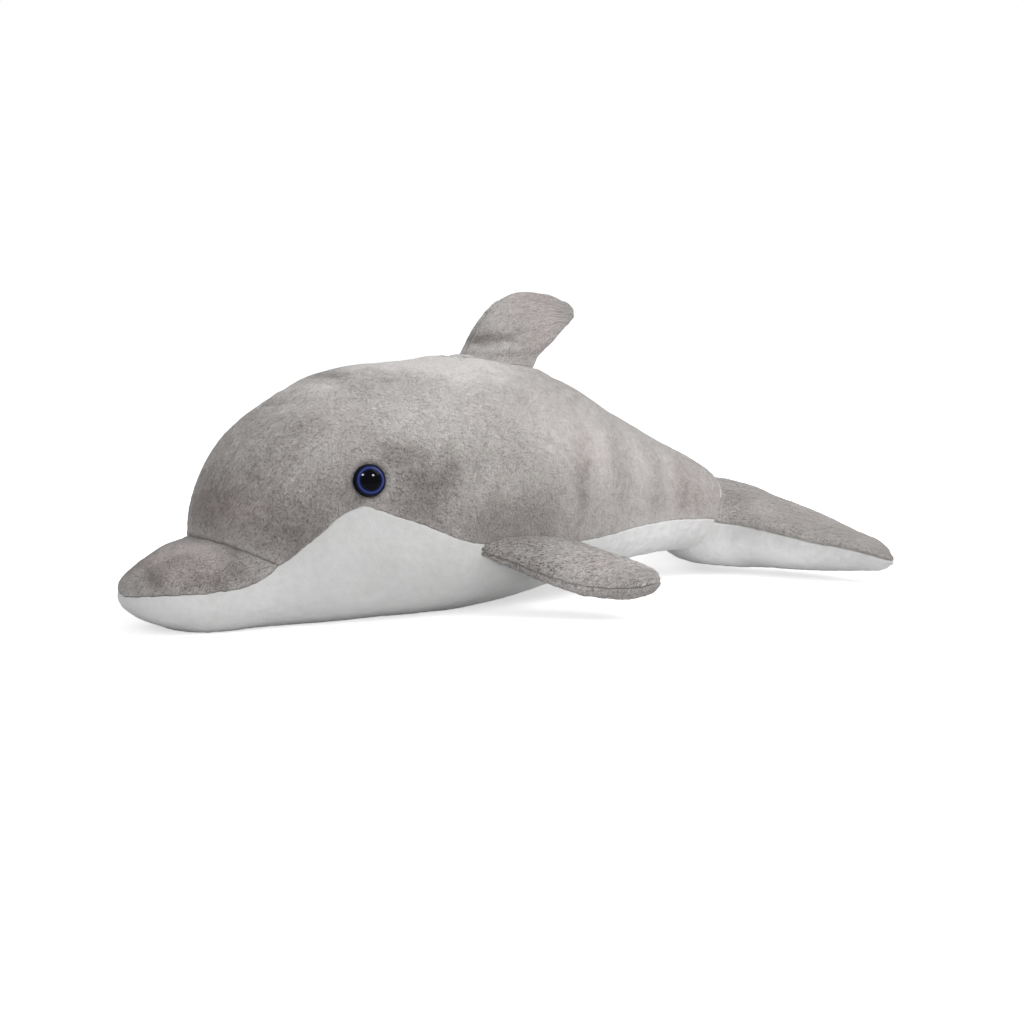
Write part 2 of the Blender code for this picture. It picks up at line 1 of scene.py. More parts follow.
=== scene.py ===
"""Looks of the plush dolphin: short-pile panels, stuffed fins and domed eyes on the CAD frame.

The panels follow nearly the same profile lines as the CAD solids, far finer, with the seams
rolled in, the soft folds and dents of the filling, and the clumps of the pile. Shapes are worked
out in millimetres and written to the meshes in metres. Left is -Y, the head points to -X.
"""

import itertools
import math

import bpy
import numpy as np
from mathutils import Matrix, Vector


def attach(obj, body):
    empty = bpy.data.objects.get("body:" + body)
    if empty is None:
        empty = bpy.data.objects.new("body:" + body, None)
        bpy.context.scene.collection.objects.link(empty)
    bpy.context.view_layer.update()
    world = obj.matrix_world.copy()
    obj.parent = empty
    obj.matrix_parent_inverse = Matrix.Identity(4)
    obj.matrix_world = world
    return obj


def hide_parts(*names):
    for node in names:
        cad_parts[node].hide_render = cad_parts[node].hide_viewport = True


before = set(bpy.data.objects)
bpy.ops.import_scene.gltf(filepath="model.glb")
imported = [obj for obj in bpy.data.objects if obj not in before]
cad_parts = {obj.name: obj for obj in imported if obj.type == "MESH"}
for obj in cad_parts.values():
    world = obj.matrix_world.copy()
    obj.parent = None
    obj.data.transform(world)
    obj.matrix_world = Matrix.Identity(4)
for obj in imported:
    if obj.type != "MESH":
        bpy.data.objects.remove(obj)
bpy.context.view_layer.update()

MM = 0.001
MIRROR = np.array([1.0, -1.0, 1.0])   # turns left into right

# Sizes of the CAD part, millimetres. The *_AT values are percent of the body's sizes.
BODY_LENGTH, BODY_HEIGHT, BODY_WIDTH, SETTLE = 273.5, 96.0, 95.0, 2.0
TOP_ROUNDNESS, BELLY_ROUNDNESS = 2.15, 2.8
DORSAL_CHORD, DORSAL_HEIGHT, DORSAL_THICKNESS, DORSAL_AT = 41.0, 35.0, 18.0, (50.5, 87.5)
FLIPPER_LENGTH, FLIPPER_THICKNESS, FLIPPER_AT = 73.0, 13.0, (43.0, 71.6, 29.2)
FLUKE_SPAN, FLUKE_LENGTH, FLUKE_THICKNESS, FLUKE_AT = 148.0, 65.0, 34.0, 89.8
FIN_FULLNESS = 0.80
EYE_DIAMETER, EYE_DOME, EYE_RIM, EYE_SEAT_GAP = 12.0, 4.2, 0.8, 0.3
SHANK_RADIUS, SHANK_LENGTH = 2.0, 8.5
EYE_AT = 0.3185, 0.590    # station and turn on the body's surface

# Profile lines of the body. The first number is the station: -1 at the beak tip, 0 at the seam
# between beak and forehead, 1 at the tail. Places are percent of its length, half width, height.
BEAK_TOP = [
    (-1.00, 0.0, 16.0), (-0.93, 0.4, 20.2), (-0.80, 2.0, 24.4), (-0.60, 4.9, 29.4),
    (-0.30, 8.6, 34.3), (0.00, 11.7, 35.3),
]
BACK_TOP = [
    (0.00, 11.7, 35.3), (0.05, 11.8, 43.4), (0.10, 13.1, 56.0), (0.17, 16.1, 71.0),
    (0.24, 20.4, 81.7), (0.32, 26.1, 90.1), (0.40, 31.6, 96.3), (0.47, 38.2, 98.9),
    (0.55, 51.4, 99.6), (0.63, 60.5, 96.1), (0.70, 68.6, 89.0), (0.78, 77.3, 75.6),
    (0.86, 86.1, 63.0), (0.93, 93.3, 53.9), (1.00, 98.8, 44.8),
]
WIDEST = [
    (-1.00, 0.0, 0.0, 16.0), (-0.93, 0.7, 17.9, 16.9), (-0.80, 2.7, 32.6, 17.7),
    (-0.60, 6.0, 43.2, 17.9), (-0.30, 11.2, 52.6, 19.0), (-0.12, 14.6, 58.9, 21.8),
    (0.00, 17.0, 62.1, 27.1), (0.10, 19.9, 69.5, 36.5), (0.24, 25.8, 81.1, 42.7),
    (0.40, 34.2, 94.7, 44.8), (0.55, 49.5, 100.0, 45.8), (0.70, 66.4, 86.3, 41.6),
    (0.86, 82.4, 57.9, 35.4), (0.93, 90.2, 44.2, 31.2), (1.00, 96.4, 33.7, 27.1),
]
UNDERSIDE = [
    (-1.00, 0.0, 16.0), (-0.93, 0.4, 12.4), (-0.80, 2.0, 8.0), (-0.60, 4.9, 3.8),
    (-0.30, 9.7, 0.0), (0.00, 15.5, 0.0), (0.50, 44.0, 0.0), (0.63, 56.9, 3.6),
    (0.70, 64.2, 7.2), (0.78, 73.3, 11.0), (0.86, 81.7, 13.2), (0.93, 88.3, 13.8),
    (1.00, 93.1, 12.6),
]
# Station and height of the seam between back and belly
BELLY_SEAM = [
    (0.000, 27.1), (0.050, 29.4), (0.140, 36.7), (0.230, 45.4), (0.270, 47.8), (0.290, 48.5),
    (0.315, 47.4), (0.350, 45.2), (0.410, 41.0), (0.500, 31.6), (0.600, 27.4), (0.700, 27.7),
    (0.780, 29.6), (0.860, 30.2), (0.930, 28.9), (1.000, 26.8),
]
# Rows of the fins, from root to tip, in percent of their sizes. Dorsal fin: number, leading x and
# z, trailing x and z, thickness.
DORSAL_ROWS = [
    (0, 0.0, 0.0, 91.0, 0.0, 100), (1, 19.5, 34.3, 100.5, 24.3, 94),
    (2, 37.8, 67.1, 119.5, 42.9, 89), (3, 59.8, 90.0, 134.1, 57.1, 72),
    (4, 89.0, 100.0, 143.0, 65.0, 50), (5, 117.0, 96.0, 147.0, 70.0, 34),
    (6, 134.0, 88.5, 147.6, 75.5, 22),
]
# Flipper: number, leading point, trailing point, rise and drop of the filling
FLIPPER_ROWS = [
    (0, -6.0, 0.0, 0.0, 50.0, -3.0, 1.5, 6, 5),
    (1, 5.0, 15.0, 3.6, 57.5, 12.3, 4.5, 36, 28),
    (2, 19.0, 26.0, 9.8, 66.0, 23.3, 7.5, 56, 44),
    (3, 32.0, 37.0, 16.2, 73.0, 32.9, 11.0, 58, 52),
    (4, 43.0, 49.3, 20.4, 79.0, 43.8, 14.2, 55, 56),
    (5, 53.4, 61.0, 21.6, 82.9, 54.8, 16.8, 50, 52),
    (6, 63.0, 69.9, 21.2, 82.4, 64.4, 18.0, 40, 40),
    (7, 71.0, 73.3, 19.8, 79.6, 70.5, 18.5, 22, 20),
]
# Fluke: distance from the middle, leading x, trailing x, height, rise and drop of the filling
FLUKE_ROWS = [
    (0.0, 0.0, 75.0, 73.0, 43.0, 64.0), (10.8, 3.0, 81.0, 72.0, 39.0, 63.5),
    (18.9, 13.8, 86.0, 69.0, 32.5, 61.5), (27.0, 29.2, 90.0, 65.5, 28.0, 58.0),
    (47.3, 43.1, 96.5, 57.5, 20.0, 49.5), (67.6, 59.2, 99.2, 47.5, 15.5, 37.5),
    (83.8, 73.8, 100.0, 40.0, 15.0, 27.5), (94.6, 83.8, 96.9, 33.5, 11.0, 17.0),
    (99.3, 89.2, 93.8, 30.0, 6.0, 7.0),
]

# Meshes and seams, millimetres
GRAIN = 0.72              # distance between vertices on a panel
SEAM_LINES = (0.0, 0.12, 0.3, 0.55, 0.85, 1.25, 1.75)   # vertices next to a seam
INNER_STEP = 8            # the hidden inside of a panel has one vertex where the outside has 8
BODY_SHELL = 3.6          # how deep a body panel's hidden inside lies
EYE_PRESSED = 0.9         # how much lower the dome of an eye is than in the CAD part
EYE_SIDES = 96            # of an eye's round outline
DORSAL_RUN, FLIPPER_RUN, FLUKE_RUN = 68.0, 78.0, 170.0   # from a fin's first row to its last
TIP_TURNS = (18, 36, 54, 70, 82)   # degrees of the rows that close a fin's end
BELLY_ROLL = 0.55         # radius with which the plush rolls into the seam of the belly
SPINE_ROLL = 0.25         # the same along the spine
BEAK_ROLL = 1.2           # the same between beak and forehead
TAIL_ROLL = 0.6           # the same where the tail ends at the fluke
FIN_ROLL = 1.15           # the same at the edge of a fin
TAIL_PINCH = 1.1          # how far the seam at the fluke ties the tail in
SEAM_RAGGED = 0.35        # how far the seams of the body wander up and down
FIN_SEAM_RAGGED = 0.45    # the same at the edge of a fin
TIP_ROUND = 1.4           # how far the rounded end of a fin stands out
ROOT_STITCH = 1.6         # depth of the stitches round the dorsal fin
BODY_SEED = 11


def smooth_curve(rows, at):
    """Values at the given places, on a smooth curve through rows that never overshoots."""
    rows = np.array(rows, float)
    knots, values = rows[:, 0], rows[:, 1:]
    width = np.diff(knots)[:, None]
    slope = np.diff(values, axis=0) / width
    before, after = slope[:-1], slope[1:]
    same_way = before * after > 0.0
    weight_before = 2.0 * width[1:] + width[:-1]
    weight_after = width[1:] + 2.0 * width[:-1]
    safe_before = np.where(same_way, before, 1.0)
    safe_after = np.where(same_way, after, 1.0)
    harmonic = weight_before / safe_before + weight_after / safe_after
    mean = (weight_before + weight_after) / harmonic
    tangent = np.vstack([slope[:1], np.where(same_way, mean, 0.0), slope[-1:]])
    at = np.asarray(at, float)
    index = np.clip(np.searchsorted(knots, at, side="right") - 1, 0, len(knots) - 2)
    step = width[index]
    t = (at[..., None] - knots[index][..., None]) / step
    return (
        (2 * t**3 - 3 * t**2 + 1) * values[index]
        + (t**3 - 2 * t**2 + t) * step * tangent[index]
        + (3 * t**2 - 2 * t**3) * values[index + 1]
        + (t**3 - t**2) * step * tangent[index + 1]
    )


BODY_MIDDLE = (FLUKE_AT / 100 * BODY_LENGTH + FLUKE_LENGTH) / 2


def profile_lines(station, beak):
    """Top, widest and bottom line of the body at a station, from the beak tip."""
    top = smooth_curve(BEAK_TOP if beak else BACK_TOP, station) / 100 * (BODY_LENGTH, BODY_HEIGHT)
    side = smooth_curve(WIDEST, station) / 100 * (BODY_LENGTH, BODY_WIDTH / 2, BODY_HEIGHT)
    bottom = smooth_curve(UNDERSIDE, station) / 100 * (BODY_LENGTH, BODY_HEIGHT)
    return top, side, bottom


def body_surface(station, turn, beak=False):
    """Points of the body. turn is 0 under the belly, 0.5 at the left flank, 1 on the spine."""
    top, side, bottom = profile_lines(station, beak)
    angle = np.pi * np.asarray(turn, float)
    below = np.cos(angle) >= 0.0
    power = 2.0 / np.where(below, BELLY_ROUNDNESS, TOP_ROUNDNESS)
    rise = np.abs(np.cos(angle)) ** power
    reach = np.sign(np.sin(angle)) * np.abs(np.sin(angle)) ** power
    end_x = np.where(below, bottom[..., 0], top[..., 0])
    end_z = np.where(below, bottom[..., 1], top[..., 1])
    x = end_x + (side[..., 0] - end_x) * (1.0 - rise) - BODY_MIDDLE
    z = side[..., 2] + (end_z - side[..., 2]) * rise - SETTLE
    return np.stack([x, -side[..., 1] * reach, np.maximum(z, 0.0)], axis=-1)


def seam_turn(station):
    """Where the seam between back and belly runs, as a turn of the section."""
    _, side, bottom = profile_lines(station, False)
    top = smooth_curve(BACK_TOP, np.maximum(station, 0.0))[..., 1] / 100 * BODY_HEIGHT
    height = smooth_curve(BELLY_SEAM, np.maximum(station, 0.0))[..., 0] / 100 * BODY_HEIGHT
    height = np.where(station <= 0.0, side[..., 2], height)
    below = height <= side[..., 2]
    reach = np.where(below, bottom[..., 1], top) - side[..., 2]
    power = np.where(below, BELLY_ROUNDNESS, TOP_ROUNDNESS) / 2.0
    share = (height - side[..., 2]) / np.where(below, np.minimum(reach, -1e-6), reach)
    angle = np.arccos(np.clip(share, 0.0, 1.0) ** power)
    return np.where(below, angle, np.pi - angle) / np.pi


def noise(points, size, seed):
    """Smooth gradient noise of the given grain, about -1 to 1."""
    scaled = points / size
    base = np.floor(scaled)
    local = scaled - base
    ease = local**3 * (local * (local * 6 - 15) + 10)
    base = base.astype(np.int64)
    total = np.zeros(points.shape[:-1])
    for corner in itertools.product((0, 1), repeat=3):
        cell = base + np.array(corner)
        code = cell @ np.array([374761393, 668265263, 2147483647]) + seed * 69069
        code = code & 0xFFFFFFFF
        code = ((code ^ (code >> 13)) * 1274126177) & 0xFFFFFFFF
        code = code ^ (code >> 16)
        gradient = np.stack([code & 255, (code >> 8) & 255, (code >> 16) & 255], axis=-1)
        gradient = gradient / 127.5 - 1.0
        weight = np.prod(np.where(np.array(corner) == 1, ease, 1.0 - ease), axis=-1)
        total += weight * (gradient * (local - np.array(corner))).sum(axis=-1)
    return total * 1.5


def spread(length, count):
    """Places from 0 to length, close together at both ends and even between them."""
    lines = np.array(SEAM_LINES)
    length = np.asarray(length, float)[..., None]
    shrink = np.minimum(1.0, length / (4.0 * lines[-1]))
    near = lines * shrink
    even = np.linspace(0, 1, count - 2 * len(lines) + 2)
    middle = near[..., -1:] + (length - 2.0 * near[..., -1:]) * even
    return np.concatenate([near, middle[..., 1:-1], length - near[..., ::-1]], axis=-1)


def round_to_steps(count):
    """A number of cells that the coarse inside divides evenly."""
    return INNER_STEP * max(2, round(count / INNER_STEP))


def normals_of(points):
    """Outward direction at each point of a grid whose rows run backward and columns leftward."""
    along = np.gradient(points, axis=0)
    around = np.gradient(points, axis=1)
    normal = np.cross(along, around)
    length = np.linalg.norm(normal, axis=-1, keepdims=True)
    return np.where(length > 1e-9, normal / np.maximum(length, 1e-9), (-1.0, 0.0, 0.0))


def arc(points, axis):
    """Distance along a grid's lines from their start."""
    step = np.linalg.norm(np.diff(points, axis=axis), axis=-1)
    start = np.zeros_like(step[:1] if axis == 0 else step[:, :1])
    return np.concatenate([start, np.cumsum(step, axis=axis)], axis=axis)


def body_grid(first, last, low, high):
    """An even grid of body points between two stations and two turns, and the turn of each.

    low and high are functions that give the turn at each station.
    """
    trial = np.linspace(first, last, 160)

    def surface(station, turn):
        if first >= 0.0:
            return body_surface(station, turn)
        ahead = body_surface(np.minimum(station, 0.0), turn, True)
        behind = body_surface(np.maximum(station, 0.0), turn)
        return np.where((station < 0.0)[..., None], ahead, behind)

    share = np.linspace(0.0, 1.0, 240)
    turns = low(trial)[:, None] + (high(trial) - low(trial))[:, None] * share
    rough = surface(np.repeat(trial[:, None], len(share), axis=1), turns)
    length = arc(rough, 0).mean(axis=1)
    rows = round_to_steps(length[-1] / GRAIN) + 1
    station = np.interp(spread(length[-1], rows), length, trial)

    turns = low(station)[:, None] + (high(station) - low(station))[:, None] * share
    rough = surface(np.repeat(station[:, None], len(share), axis=1), turns)
    width = arc(rough, 1)
    columns = round_to_steps(np.percentile(width[:, -1], 80) / GRAIN) + 1
    wanted = spread(width[:, -1], columns)
    turn = np.array([np.interp(w, have, t) for w, have, t in zip(wanted, width, turns)])
    return surface(np.repeat(station[:, None], columns, axis=1), turn), turn


def edge_distances(points):
    """Distance over the surface to each edge of a grid."""
    along, around = arc(points, 0), arc(points, 1)
    return {
        "front": along, "back": along[-1:] - along,
        "low": around, "high": around[:, -1:] - around,
    }


def roll_in(distance, radius):
    """How far the plush sinks at a distance from a seam that pulls it round and in."""
    near = radius - np.clip(distance, 0.0, radius)
    return radius - np.sqrt(np.maximum(radius**2 - near**2, 0.0))


def line_distance(points, path):
    """Distance from each point to a line through the given places."""
    nearest = np.full(points.shape[:-1], 1e9)
    for start, end in zip(path[:-1], path[1:]):
        start, span = np.array(start, float), np.array(end, float) - np.array(start, float)
        share = np.clip((points - start) @ span / (span @ span), 0.0, 1.0)
        away = np.linalg.norm(points - start - share[..., None] * span, axis=-1)
        nearest = np.minimum(nearest, away)
    return nearest


def pile_relief(points, seed):
    """Clumps of the pile and the lumps of the filling under it."""
    stretched = points * np.array([0.62, 1.0, 1.0])
    return (
        0.42 * noise(points, 34.0, seed) + 0.20 * noise(points, 15.0, seed + 1)
        + 0.10 * noise(stretched, 4.6, seed + 2) + 0.16 * noise(stretched, 2.0, seed + 3)
    )


def seam_direction(turn):
    """Which way the seam between beak and forehead is pulled in, at each turn round the head."""
    step = 0.004
    facing = []
    for beak, near, far in ((True, -step, 0.0), (False, 0.0, step)):
        start, end = np.full_like(turn, near), np.full_like(turn, far)
        along = body_surface(end, turn, beak) - body_surface(start, turn, beak)
        around = body_surface(end, turn + step, beak) - body_surface(end, turn - step, beak)
        normal = np.cross(along, around)
        facing.append(normal / np.linalg.norm(normal, axis=-1, keepdims=True))
    mean = facing[0] + facing[1]
    return mean / np.linalg.norm(mean, axis=-1, keepdims=True)


def make_mesh(name, points, faces, layers, material_index=None):
    """A mesh from millimetre points, with a value or a vector for each point in each layer."""
    mesh = bpy.data.meshes.new(name)
    mesh.from_pydata((points * MM).tolist(), [], faces)
    for label, values in layers.items():
        kind = "FLOAT_VECTOR" if values.ndim == 2 else "FLOAT"
        layer = mesh.attributes.new(label, kind, "POINT")
        field = "vector" if values.ndim == 2 else "value"
        layer.data.foreach_set(field, values.astype(np.float32).ravel())
    mesh.shade_smooth()
    if material_index is not None:
        mesh.polygons.foreach_set("material_index", material_index)
    mesh.validate()
    piece = bpy.data.objects.new(name, mesh)
    bpy.context.scene.collection.objects.link(piece)
    return piece


def grid_quads(rows, columns, flip):
    """Corner numbers of the cells of a grid."""
    index = np.arange(rows * columns).reshape(rows, columns)
    a, b, c, d = index[:-1, :-1], index[1:, :-1], index[1:, 1:], index[:-1, 1:]
    order = (a, d, c, b) if flip else (a, b, c, d)
    return np.stack(order, axis=-1).reshape(-1, 4)


def stitch(fine, coarse, flip):
    """Triangles between a border and the coarse border inside it."""
    faces = []
    for k in range(len(coarse) - 1):
        run = fine[k * INNER_STEP:(k + 1) * INNER_STEP + 1]
        half = len(run) // 2
        faces += [(run[i], run[i + 1], coarse[k]) for i in range(half)]
        faces.append((run[half], coarse[k + 1], coarse[k]))
        faces += [(run[i], run[i + 1], coarse[k + 1]) for i in range(half, len(run) - 1)]
    return [face[::-1] for face in faces] if flip else faces


def closed_panel(name, outer, inner, layers, flip):
    """A closed shell: the fine outside, a coarse inside and the border between them."""
    rows, columns = outer.shape[:2]
    coarse = inner[::INNER_STEP, ::INNER_STEP]
    inner_rows, inner_columns = coarse.shape[:2]
    faces = grid_quads(rows, columns, flip).tolist()
    faces += (grid_quads(inner_rows, inner_columns, not flip) + rows * columns).tolist()
    fine = np.arange(rows * columns).reshape(rows, columns).tolist()
    back = np.arange(inner_rows * inner_columns).reshape(inner_rows, inner_columns)
    back = (back + rows * columns).tolist()
    faces += stitch(fine[0], back[0], not flip) + stitch(fine[-1], back[-1], flip)
    faces += stitch([row[0] for row in fine], [row[0] for row in back], flip)
    faces += stitch([row[-1] for row in fine], [row[-1] for row in back], not flip)
    points = np.vstack([outer.reshape(-1, 3), coarse.reshape(-1, 3)])
    full = {}
    for label, values in layers.items():
        values = values.reshape(rows * columns, -1)
        padding = np.zeros((inner_rows * inner_columns, values.shape[1]))
        full[label] = np.vstack([values, padding])
        if values.shape[1] == 1:
            full[label] = full[label][:, 0]
    return make_mesh(name, points, faces, full)


# Folds and dents, listed one by one: line, half width, depth, in millimetres. A bulge has a depth
# below 0.
FOLDS = [
    ([(-94, 7, 79), (-93, -3, 80.5), (-88, -10, 80.5)], 2.4, 1.5),
    ([(-88, 8, 84), (-85, -2, 85.5), (-80, -13, 83)], 3.6, -0.8),
    ([(-73, 6, 88.5), (-72, -3, 89.5), (-70, -10, 88.5)], 2.8, 1.2),
    ([(-119.6, -17.4, 30.0), (-121.0, -21.6, 26.8), (-120.2, -25.6, 21.0)], 1.2, 1.5),
    ([(-125.5, -14.0, 30.5), (-126.8, -21.0, 26.0)], 3.4, -0.6),
    ([(-148.5, -3.0, 23.0), (-149.0, -13.1, 18.4)], 2.4, 1.0),
    ([(21.3, -35.8, 64.0), (16.2, -42.8, 40.6)], 3.4, 0.7),
    ([(31.0, -34.5, 63.0), (26.0, -40.5, 42.0)], 4.5, -0.5),
    ([(43.0, -31.0, 58.4), (37.7, -38.0, 38.7)], 3.4, 0.35),
    ([(53.0, -28.5, 58.5), (48.0, -35.0, 37.0)], 4.5, -0.45),
    ([(66.3, -23.0, 52.0), (60.6, -30.5, 32.5)], 2.8, 0.35),
    ([(77.0, -19.0, 52.0), (71.0, -27.0, 32.5)], 3.2, -0.45),
    ([(87.9, -15.6, 48.0), (81.0, -24.3, 32.5)], 2.4, 0.5),
    ([(97.5, -12.0, 45.5), (92.0, -21.0, 30.0)], 2.0, -0.4),
    ([(30.0, 3.0, 85.0), (26.0, -12.0, 82.0)], 3.0, 0.5),
    ([(56.0, 3.0, 71.5), (52.0, -10.0, 70.0)], 2.5, 0.7),
    ([(74.0, 3.0, 60.0), (71.0, -9.0, 59.0)], 2.0, 0.6),
    ([(-6.0, -2.7, 100.0), (-1.0, -5.8, 101.2), (7.0, -7.8, 100.8)], 1.4, 1.6),
    ([(-6.0, -4.0, 96.6), (1.0, -7.5, 97.0), (9.0, -8.7, 96.6)], 2.4, -0.8),
    ([(-28.0, -50.0, 28.5), (-12.0, -58.0, 26.0), (-4.0, -62.0, 23.0)], 3.0, 0.5),
    ([(-46.0, -46.0, 57.0), (-46.0, -46.2, 50.0)], 1.6, 0.4),
]
# Ellipsoid where the dorsal fin grows out of the body, and how much the body swells round it
DORSAL_ROOT = (0.8, 0.0, 92.0), (18.6, 8.4, 30.0)
DORSAL_SWELLING = 1.6
# Places where the pile lies darker or lighter, and painted light and shade such as the highlight on
# top of the back, the lightened undersides of fluke and flippers, the shade above the flippers and
# at the dorsal fin's base: middle, radius, strength
NAP_AND_LIGHT_PATCHES = [
    ((-120, -8, 44), (10, 12, 10), -0.80), ((-112, -20, 55), (13, 16, 14), -0.25),
    ((-102, -32, 38), (15, 12, 10), -0.95), ((-95, -22, 71), (8, 8, 7), -0.45),
    ((-90, -36, 50), (13, 12, 9), -0.30), ((-94, -8, 81), (8, 9, 4), 0.35),
    ((-82, -14, 86), (9, 9, 5), 0.45), ((-78, -8, 84), (11, 11, 7), 0.45),
    ((-71, -6, 89), (3.5, 8, 3.5), -0.50),
    ((-57, -45, 51), (11, 9, 10), -0.90), ((-58, -45, 41), (10, 9, 7), -0.50),
    ((-67, -41, 62), (8, 8, 5), -0.50), ((-46, -45, 55), (5, 8, 5), -0.40),
    ((-28, -47, 36), (14, 9, 7), -0.45), ((-5, -46, 38), (12, 9, 9), -0.55),
    ((16, -43, 46), (3.5, 8, 13), -0.40), ((38, -37, 45), (3.5, 8, 10), -0.10),
    ((62, -30, 38), (4, 8, 9), -0.10), ((83, -24, 38), (6, 8, 10), -0.30),
    ((92, -20, 34), (4, 8, 6), -0.20), ((-17, -18, 91), (26, 16, 9), 0.85),
    ((-38, -6, 93), (30, 14, 5), 0.90), ((5, -38, 66), (20, 14, 14), 0.40),
    ((28, -36, 58), (6, 9, 16), 0.40), ((-40, -34, 78), (22, 16, 12), 0.35),
    ((53, -28, 48), (7, 8, 16), 0.45), ((72, -22, 46), (5, 8, 12), 0.30),
    ((-149, -9, 20), (5, 8, 5), -0.80), ((-137, -12, 24), (12, 10, 6), -0.55),
    ((-131, -22, 19), (13, 6, 4), -0.60), ((-124, -21, 25), (4, 6, 6), -0.60),
    ((-140, -6, 31), (8, 8, 3), 0.45), ((-128, -12, 33), (6, 8, 4), 0.50),
    ((-3, -5, 101), (8, 6, 2.5), -0.65), ((4, -7, 95.0), (16, 6, 1.8), -0.50),
    ((24, -5, 108), (9, 8, 14), 0.20), ((4, -5, 112), (12, 8, 8), 0.25),
    ((-72, -34, 74), (24, 16, 14), 0.35), ((0, -66, 24), (16, 14, 9), 0.28),
    ((14, -78, 18), (10, 10, 8), 0.45), ((-2, -70, 12), (22, 12, 6), 0.60),
    ((128, -40, 25), (7, 8, 5), -0.15), ((116, -17, 32), (5, 7, 5), -0.30),
    ((138, -54, 20), (9, 8, 6), -0.20),
    ((122, -26, 31), (5, 6, 5), 0.45), ((118, -30, 8), (26, 30, 8), 1.30),
    ((60, -24, 20), (40, 18, 9), 0.60), ((-60, -44, 20), (60, 14, 14), -0.55),
    ((-80, -36, 40), (22, 12, 7), 0.20),
]
# Places where the pile looks rosier
ROSY_PATCHES = [
    ((24, -4, 110), (11, 10, 16), 1.0), ((-138, -12, 24), (14, 12, 7), 1.4),
    ((-118, -14, 44), (10, 14, 9), 0.8), ((20, -38, 60), (30, 14, 16), 0.45),
    ((85, -22, 38), (26, 12, 14), 0.6), ((5, -75, 16), (16, 14, 10), 0.6),
]
NAP_AND_LIGHT_MIRRORED = 0.7        # strength of the dark and light places, painted light and shade among them, on the right side
ROSY_MIRRORED = 0.8       # the same of the rosy places
FOLD_MIRRORED = 0.75      # the same of the folds
FOLD_SHIFT = (3.5, 0.0, -0.5)   # how far the folds on the right side lie from their mirror image
FOLD_SHADE = 0.16         # painted shade in a fold and painted light on a bulge, for each millimetre of its depth
ROOT_SHADE = 0.85         # painted shade where the stitches of the dorsal fin draw the body in
TAIL_LIGHT = 1.5          # how much lighter on the ring next to the seam at the fluke


def patches(points, places, mirrored_share):
    """Sum of soft round patches on the left, and weaker ones in the same places on the right."""
    value = np.zeros(points.shape[:-1])
    for centre, radius, strength in places:
        for spots, share in ((points, 1.0), (points * MIRROR, mirrored_share)):
            away = ((spots - np.array(centre)) / np.array(radius)) ** 2
            value += share * strength * np.exp(-away.sum(axis=-1))
    return value


def nap_and_painted_light_value(points, seed):
    """Which way the pile lies, with painted shade in the folds and the painted light and shade of
    the patches, from -1 for dark to 1 for light, with ragged borders.
    """
    ragged = points + 2.2 * noise(points, 6.0, seed + 4)[..., None]
    calm = np.clip(1.0 - (points[..., 0] + 20.0) / 60.0, 0.35, 1.0)
    value = 0.20 * noise(points, 26.0, seed) + 0.16 * noise(points, 11.0, seed + 1)
    value = calm * (value + 0.14 * noise(points, 4.0, seed + 2))
    value += patches(ragged, NAP_AND_LIGHT_PATCHES, NAP_AND_LIGHT_MIRRORED)
    # Folds add painted shade to the colour, bulges painted light
    return value + FOLD_SHADE * fold_relief(points)


def looks_of(points, seed, coarse):
    """What the material reads at each point: nap with its painted light and shade, rosiness and
    coarseness of the pile.
    """
    rosy = patches(points, ROSY_PATCHES, ROSY_MIRRORED) + 0.3 * noise(points, 30.0, 7)
    return {
        "nap_and_painted_light": nap_and_painted_light_value(points, seed + 50),
        "rosy": np.clip(rosy, 0.0, 1.0),
        "coarse": np.broadcast_to(coarse, points.shape[:-1]),
    }


def lay_map(points):
    """Distances over a panel along and across the toy, which place the strokes of the pile."""
    along, around = arc(points, 0), arc(points, 1)
    along = np.repeat(along.mean(axis=1, keepdims=True), points.shape[1], axis=1)
    middle = points.shape[1] // 2
    return np.stack([along, around - around[:, middle:middle + 1], np.zeros_like(along)], axis=-1)


def fold_relief(points):
    """Listed folds, and weaker ones a little further back on the other side."""
    relief = np.zeros(points.shape[:-1])
    other = points * MIRROR - np.array(FOLD_SHIFT)
    for path, width, depth in FOLDS:
        relief -= depth * np.exp(-(line_distance(points, path) / width) ** 2)
        if max(place[1] for place in path) < 0.0:
            depth *= FOLD_MIRRORED
            relief -= depth * np.exp(-(line_distance(other, path) / width) ** 2)
    return relief


def root_distance(points):
    """How far each point lies outside the dorsal fin's root."""
    centre, half = np.array(DORSAL_ROOT)
    return (np.sqrt((((points - centre) / half) ** 2).sum(axis=-1)) - 1.0) * min(half)


def root_relief(points):
    """The body swells towards the dorsal fin and is drawn in by the stitches round it."""
    away = root_distance(points)
    relief = DORSAL_SWELLING * np.exp(-(np.maximum(away, 0.0) / 6.0) ** 2)
    return relief - ROOT_STITCH * np.exp(-(away / 1.2) ** 2)


def eye_relief(points):
    """The plush is pressed in under the eye and stands up round it."""
    relief = np.zeros(points.shape[:-1])
    spot = body_surface(np.array([EYE_AT[0]]), np.array([EYE_AT[1]]))[0]
    for centre in (spot, spot * MIRROR):
        away = np.linalg.norm(points - centre, axis=-1) - EYE_DIAMETER / 2
        relief += 0.75 * np.exp(-((away - 1.6) / 1.4) ** 2)
        relief = np.where(away < 0.2, -0.3, relief)
    return relief


